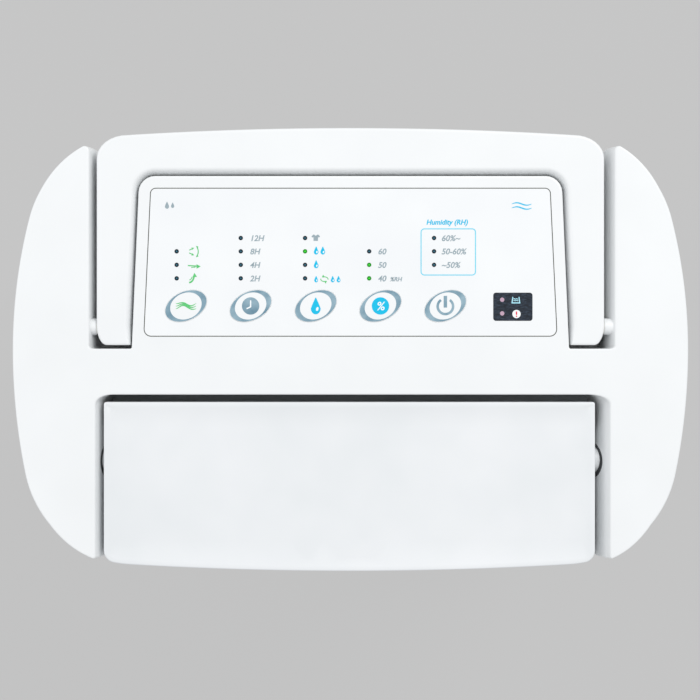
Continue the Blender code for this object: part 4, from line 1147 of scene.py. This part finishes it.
def anticlockwise(loop):
    """The loop, turned round if its area by the sum of its corners' cross products is negative."""
    after = np.roll(loop, -1, 0)
    area = (loop[:, 0] * after[:, 1] - loop[:, 1] * after[:, 0]).sum()
    return loop if area > 0 else loop[::-1]


def make_window_signs():
    """Behind the window: two lamps, a tank with water in it, and a round warning sign."""
    level = DECK + 0.03
    tank = [(-1.7, 1.5), (-2.1, -1.75), (2.1, -1.75), (1.7, 1.5)]
    tank += [(1.25, 1.5), (1.55, -1.2), (-1.55, -1.2), (-1.25, 1.5)]
    x, y = 82.1, 24.6
    pale = [anticlockwise(np.array(tank) * (1.05, 1) + (x, y))]
    ripple = np.linspace(-1.2, 1.2, 13)
    for drop in (0.5, -0.3):
        swing = np.stack([x + ripple, y + drop + 0.16 * np.sin(ripple * 5)], 1)
        pale.append(stroke(swing, 0.35))
    rose = [ellipse((75.3, height), (1.07, 1.07), 0, 24) for height in (24.7, 17.9)]
    disc = [ellipse((82.4, 17.6), (2.06, 2.06), 0, 36)]
    mark = [stroke([(82.4, 18.9), (82.4, 17.2)], 0.7), ellipse((82.4, 16.5), (0.38, 0.38), 0, 16)]
    for name, loops, finish, lift in (
        ("window_lamps", rose, "lamp_rose", 0),
        ("window_tank_sign", pale, "ink_ice", 0),
        ("window_disc", disc, "ink_white", 0),
        ("window_mark", mark, "ink_red", 0.02),
    ):
        patches = [patch for loop in loops for patch in printed([loop], at_level(level + lift))]
        piece(name, patches, finish, slot="dark_window")


# --- housing walls


def panel(name, body, node, loops, edge=0.8, gap=6.0):
    """A shell on the housing's wall, with its outer edges rounded."""
    shell = moulding(loops, [*quarter(edge, 3, 0.3), (0, WALL)], on_wall, gap)
    piece(name, shell, "white_abs", body, node=node)


def make_side_panels():
    low, high = PANEL_LOW[2], PANEL_HIGH[2]
    front, back = front_at(SIDE_EDGE), back_at(SIDE_EDGE)
    outline = rectangle(front, back, low, high, 0.8)
    panel("right_side_shell", "housing", "right_side_panel", [outline])
    left_front, left_back = PERIMETER - back, PERIMETER - front
    side = PERIMETER - np.interp(0, PLAN[: len(PLAN) // 2, 1], PLAN_RUN[: len(PLAN) // 2])
    vents = [rectangle(side - 16, side + 16, z, z + 3, 1.2, 2.0)[::-1] for z in range(386, 422, 7)]
    outline = rectangle(left_front, left_back, low, high, 0.8)
    panel("left_side_shell", "housing", "left_side_panel", [outline, *vents], 0.5)


def make_front_panel():
    """The front shell, whose upper edge steps in to leave the louver's recess open at its ends."""
    low, high = corners("front_panel")
    half, lip = front_at(SIDE_EDGE - SEAM), front_at(120.5)
    spots = [(-half, low[2]), (half, low[2]), (half, COVER_FOOT), (lip, COVER_FOOT), (lip, high[2])]
    spots += [(-lip, high[2]), (-lip, COVER_FOOT), (-half, COVER_FOOT)]
    loop = closed_loop(joined(*spots), [0.8, 0.8, 1.5, 1.5, 1.5, 1.5, 0.8, 0.8])
    panel("front_shell", "housing", "front_panel", [loop])


CUP_WALL = 2.0


def cup_floor(cup, depth, holes, gap):
    """The floor of a cup that is sunk into the wall, and the floor and the sides behind it."""
    behind, shell = depth + CUP_WALL, inset(cup, CUP_WALL)
    return [
        filled([cup[::-1], *holes], depth, on_wall, gap),
        filled([shell[::-1], *holes], behind, on_wall, gap, inward=True),
        walls([(shell, behind), (shell, WALL)], on_wall),
    ]


def make_rear_panel():
    low, high = corners("rear_panel")
    left, right = back_at(SIDE_EDGE - SEAM), back_at(-SIDE_EDGE + SEAM)
    outline = rectangle(left, right, low[2], high[2], 0.8)
    (_, _, sill), (_, _, head) = corners("rear_grille")
    opening = rectangle(back_at(102.6), back_at(-102.6), sill - SEAM, head + SEAM, 0.8)[::-1]
    cord = back_at(-95.0)
    cup = rectangle(cord - 16, cord + 16, 44, 76, 3.0)[::-1]
    steps = [*quarter(0.8, 3, 0.3), (0, WALL)]
    rim = carried(outline, steps)
    sleeve, hollow = (carried(loop, steps[:-1]) for loop in (opening, cup))
    sleeve += [(opening, 14.0), (inset(opening, 2), 14.0), (inset(opening, 2), WALL)]
    hollow += [(cup, 10.0)]
    gland = ellipse((cord, 60.0), (8.3, 8.3))[::-1]
    shell = inset(cup, CUP_WALL)
    patches = [
        filled([rim[0][0], sleeve[0][0], hollow[0][0]], 0, on_wall, 6.0),
        walls(rim, on_wall),
        walls(sleeve, on_wall),
        walls(hollow, on_wall),
        walls([(gland, 10.0), (gland, 12.0)], on_wall),
        *cup_floor(cup, 10.0, [gland], 4.0),
        filled([rim[-1][0], inset(opening, 2), shell], WALL, on_wall, 6.0, inward=True),
    ]
    piece("rear_shell", patches, "white_abs", node="rear_panel")


def make_rear_grille():
    (_, _, sill), (_, _, head) = corners("rear_grille")
    outline = rectangle(back_at(102.0), back_at(-102.0), sill, head, 1.0)
    slots = []
    for row in range(17):
        z = sill + 10 + 14 * row
        for near, far in ((95, 2.5), (-2.5, -95)):
            slots.append(rectangle(back_at(near), back_at(far), z, z + 9, 1.5, 6.0, 3)[::-1])
    panel("rear_grille_shell", "filter", "rear_grille", [outline, *slots], 0.6, 7.0)


def make_tank_front():
    """The tank's outer face, with a cup behind its finger pull and a slot for the level window."""
    low, high = corners("tank_front")
    half = front_at(SIDE_EDGE - SEAM)
    outline = rectangle(-half, half, low[2], high[2], 0.8)
    pull = rectangle(-45, 45, 110, 130, 6.0, 3.0)[::-1]
    slot = rectangle(front_at(90.7), front_at(101.3), 44.7, 120.3, 4.0, 3.0)[::-1]
    steps = [*quarter(0.8, 3, 0.3), (0, WALL)]
    rim = carried(outline, steps)
    window = carried(slot, [*quarter(0.3, 2, 0.2), (0, WALL)])
    cup = carried(pull, quarter(1.5, 4, 0.4))
    raised = pull + np.stack([np.zeros(len(pull)), np.where(pull[:, 1] > 122, 6.0, 0)], 1)
    cup += [(pull, 2.6), (raised, 4.5), (raised, 12.0)]
    shell = inset(raised, CUP_WALL)
    patches = [
        filled([rim[0][0], cup[0][0], window[0][0]], 0, on_wall, 6.0),
        walls(rim, on_wall),
        walls(cup, on_wall),
        walls(window, on_wall),
        *cup_floor(raised, 12.0, [], 6.0),
        filled([rim[-1][0], shell, window[-1][0]], WALL, on_wall, 6.0, inward=True),
    ]
    for x in (-72, -24, 24, 72):
        rib = rectangle(x - 1.5, x + 1.5, 40, 95)
        patches += moulding([rib], [(0, WALL - 0.3), (0, 13.0)], on_wall)
    piece("tank_front_shell", patches, "white_abs", "tank", node="tank_front")
    pane = rectangle(front_at(91), front_at(101), 45, 120, 3.7, 3.0)
    steps = [*quarter(0.4, 3, 0.2), (0, 2.4)]
    window = moulding([pane], steps, lambda u, z, depth: on_wall(u, z, depth + 0.3), 4.0)
    piece("level_window_pane", window, "clear_san", "tank", node="level_window")


def make_base():
    """The base pan: a skirt that turns under at its foot, and a rubber foot on each leg."""
    low, high = BASE_FOOT, corners("left_side_panel")[0][2] - SEAM
    tall = high - low
    steps = [*quarter(0.8, 3, 0.3), (0, tall - 3), (1.5, tall), (WALL + 2, tall), (WALL + 2, 4)]
    patches = moulding([PLAN[::2]], steps, at_level(high), 14.0)
    names = ("front_left", "front_right", "rear_left", "rear_right")
    for name in names:
        foot_low, foot_high = corners(f"foot_{name}")
        centre = (foot_low + foot_high)[:2] / 2
        leg = [(0, high - 3.5), (10, high - 3.5), (10, 6.9), (0, 6.9)]
        patches.append(turned(leg, centre, "Z", 32))
        rubber = [(0, 6.6), (11.9, 6.6), (12.5, 6.0), (12.5, 1.8), (11.6, 0.3), (11, 0)]
        rubber += [(10.6, 0.7), (9.8, 0.7), (9.4, 0), (0, 0)]
        foot = [turned(rubber, centre)]
        piece(f"rubber_foot_{name}", foot, "rubber", node=f"foot_{name}")
    for x in (-108.5, 108.5):
        rail = rectangle(x - 1.5, x + 1.5, -90, 40, 0.5)
        patches += moulding([rail], [(0.3, 0), (0, 0.3), (0, 7.5)], at_level(31))
    piece("base_pan_shell", patches, "white_abs", node="base_pan")


# --- studio

CAMERA_SPOT = (-0.0017, 0.0052, 1.51)
LENS = 103.7
SHIFT = (0.0043, -0.0157)


def soft_light(name, spot, aim, size, power, colour):
    """A square softbox at a spot, aimed at a point."""
    light = bpy.data.lights.new(name, "AREA")
    light.shape, light.size, light.energy, light.color = "SQUARE", size, power, colour
    made = added(name, light)
    made.location = spot
    made.rotation_euler = (Vector(aim) - Vector(spot)).to_track_quat("-Z", "Y").to_euler()


def make_studio():
    scene = bpy.context.scene
    camera = bpy.data.cameras.new("camera")
    camera.lens, camera.shift_x, camera.shift_y = LENS, *SHIFT
    scene.camera = added("camera", camera)
    scene.camera.location = CAMERA_SPOT

    world = bpy.data.worlds.new("studio")
    world.use_nodes = True
    back = world.node_tree.nodes["Background"]
    back.inputs["Color"].default_value = (0.975, 0.985, 1.0, 1.0)
    back.inputs["Strength"].default_value = 0.715
    scene.world = world
    soft_light("key_light", (1.0, 1.1, 2.1), (0, 0, 0.45), 1.1, 22, (1.0, 0.995, 0.98))
    soft_light("fill_light", (-1.5, 0.2, 1.7), (0, 0, 0.4), 1.4, 8.6, (0.99, 0.995, 1.0))
    scene.view_settings.view_transform = "Standard"

    floor = bpy.data.meshes.new("floor")
    shape = bmesh.new()
    bmesh.ops.create_circle(shape, cap_ends=True, radius=6.0, segments=96)
    shape.to_mesh(floor)
    shape.free()
    made, tree, shader, spot = new_finish("floor_paint", Roughness=0.9)
    shaded(tree, shader, grain(tree, spot, 400, 1.0), "Fac", "464646", "484848")
    shader.inputs["Emission Color"].default_value = tone("C5C5C5")
    shader.inputs["Emission Strength"].default_value = 0.86
    floor.materials.append(made)
    added("floor", floor)


def main():
    make_studio()
    finish_cad_nodes()
    make_top_cover()
    make_handle()
    make_louver()
    make_controls()
    make_key_prints()
    make_lamps()
    make_labels()
    make_symbols()
    make_window_signs()
    make_side_panels()
    make_front_panel()
    make_rear_panel()
    make_rear_grille()
    make_tank_front()
    make_base()


main()
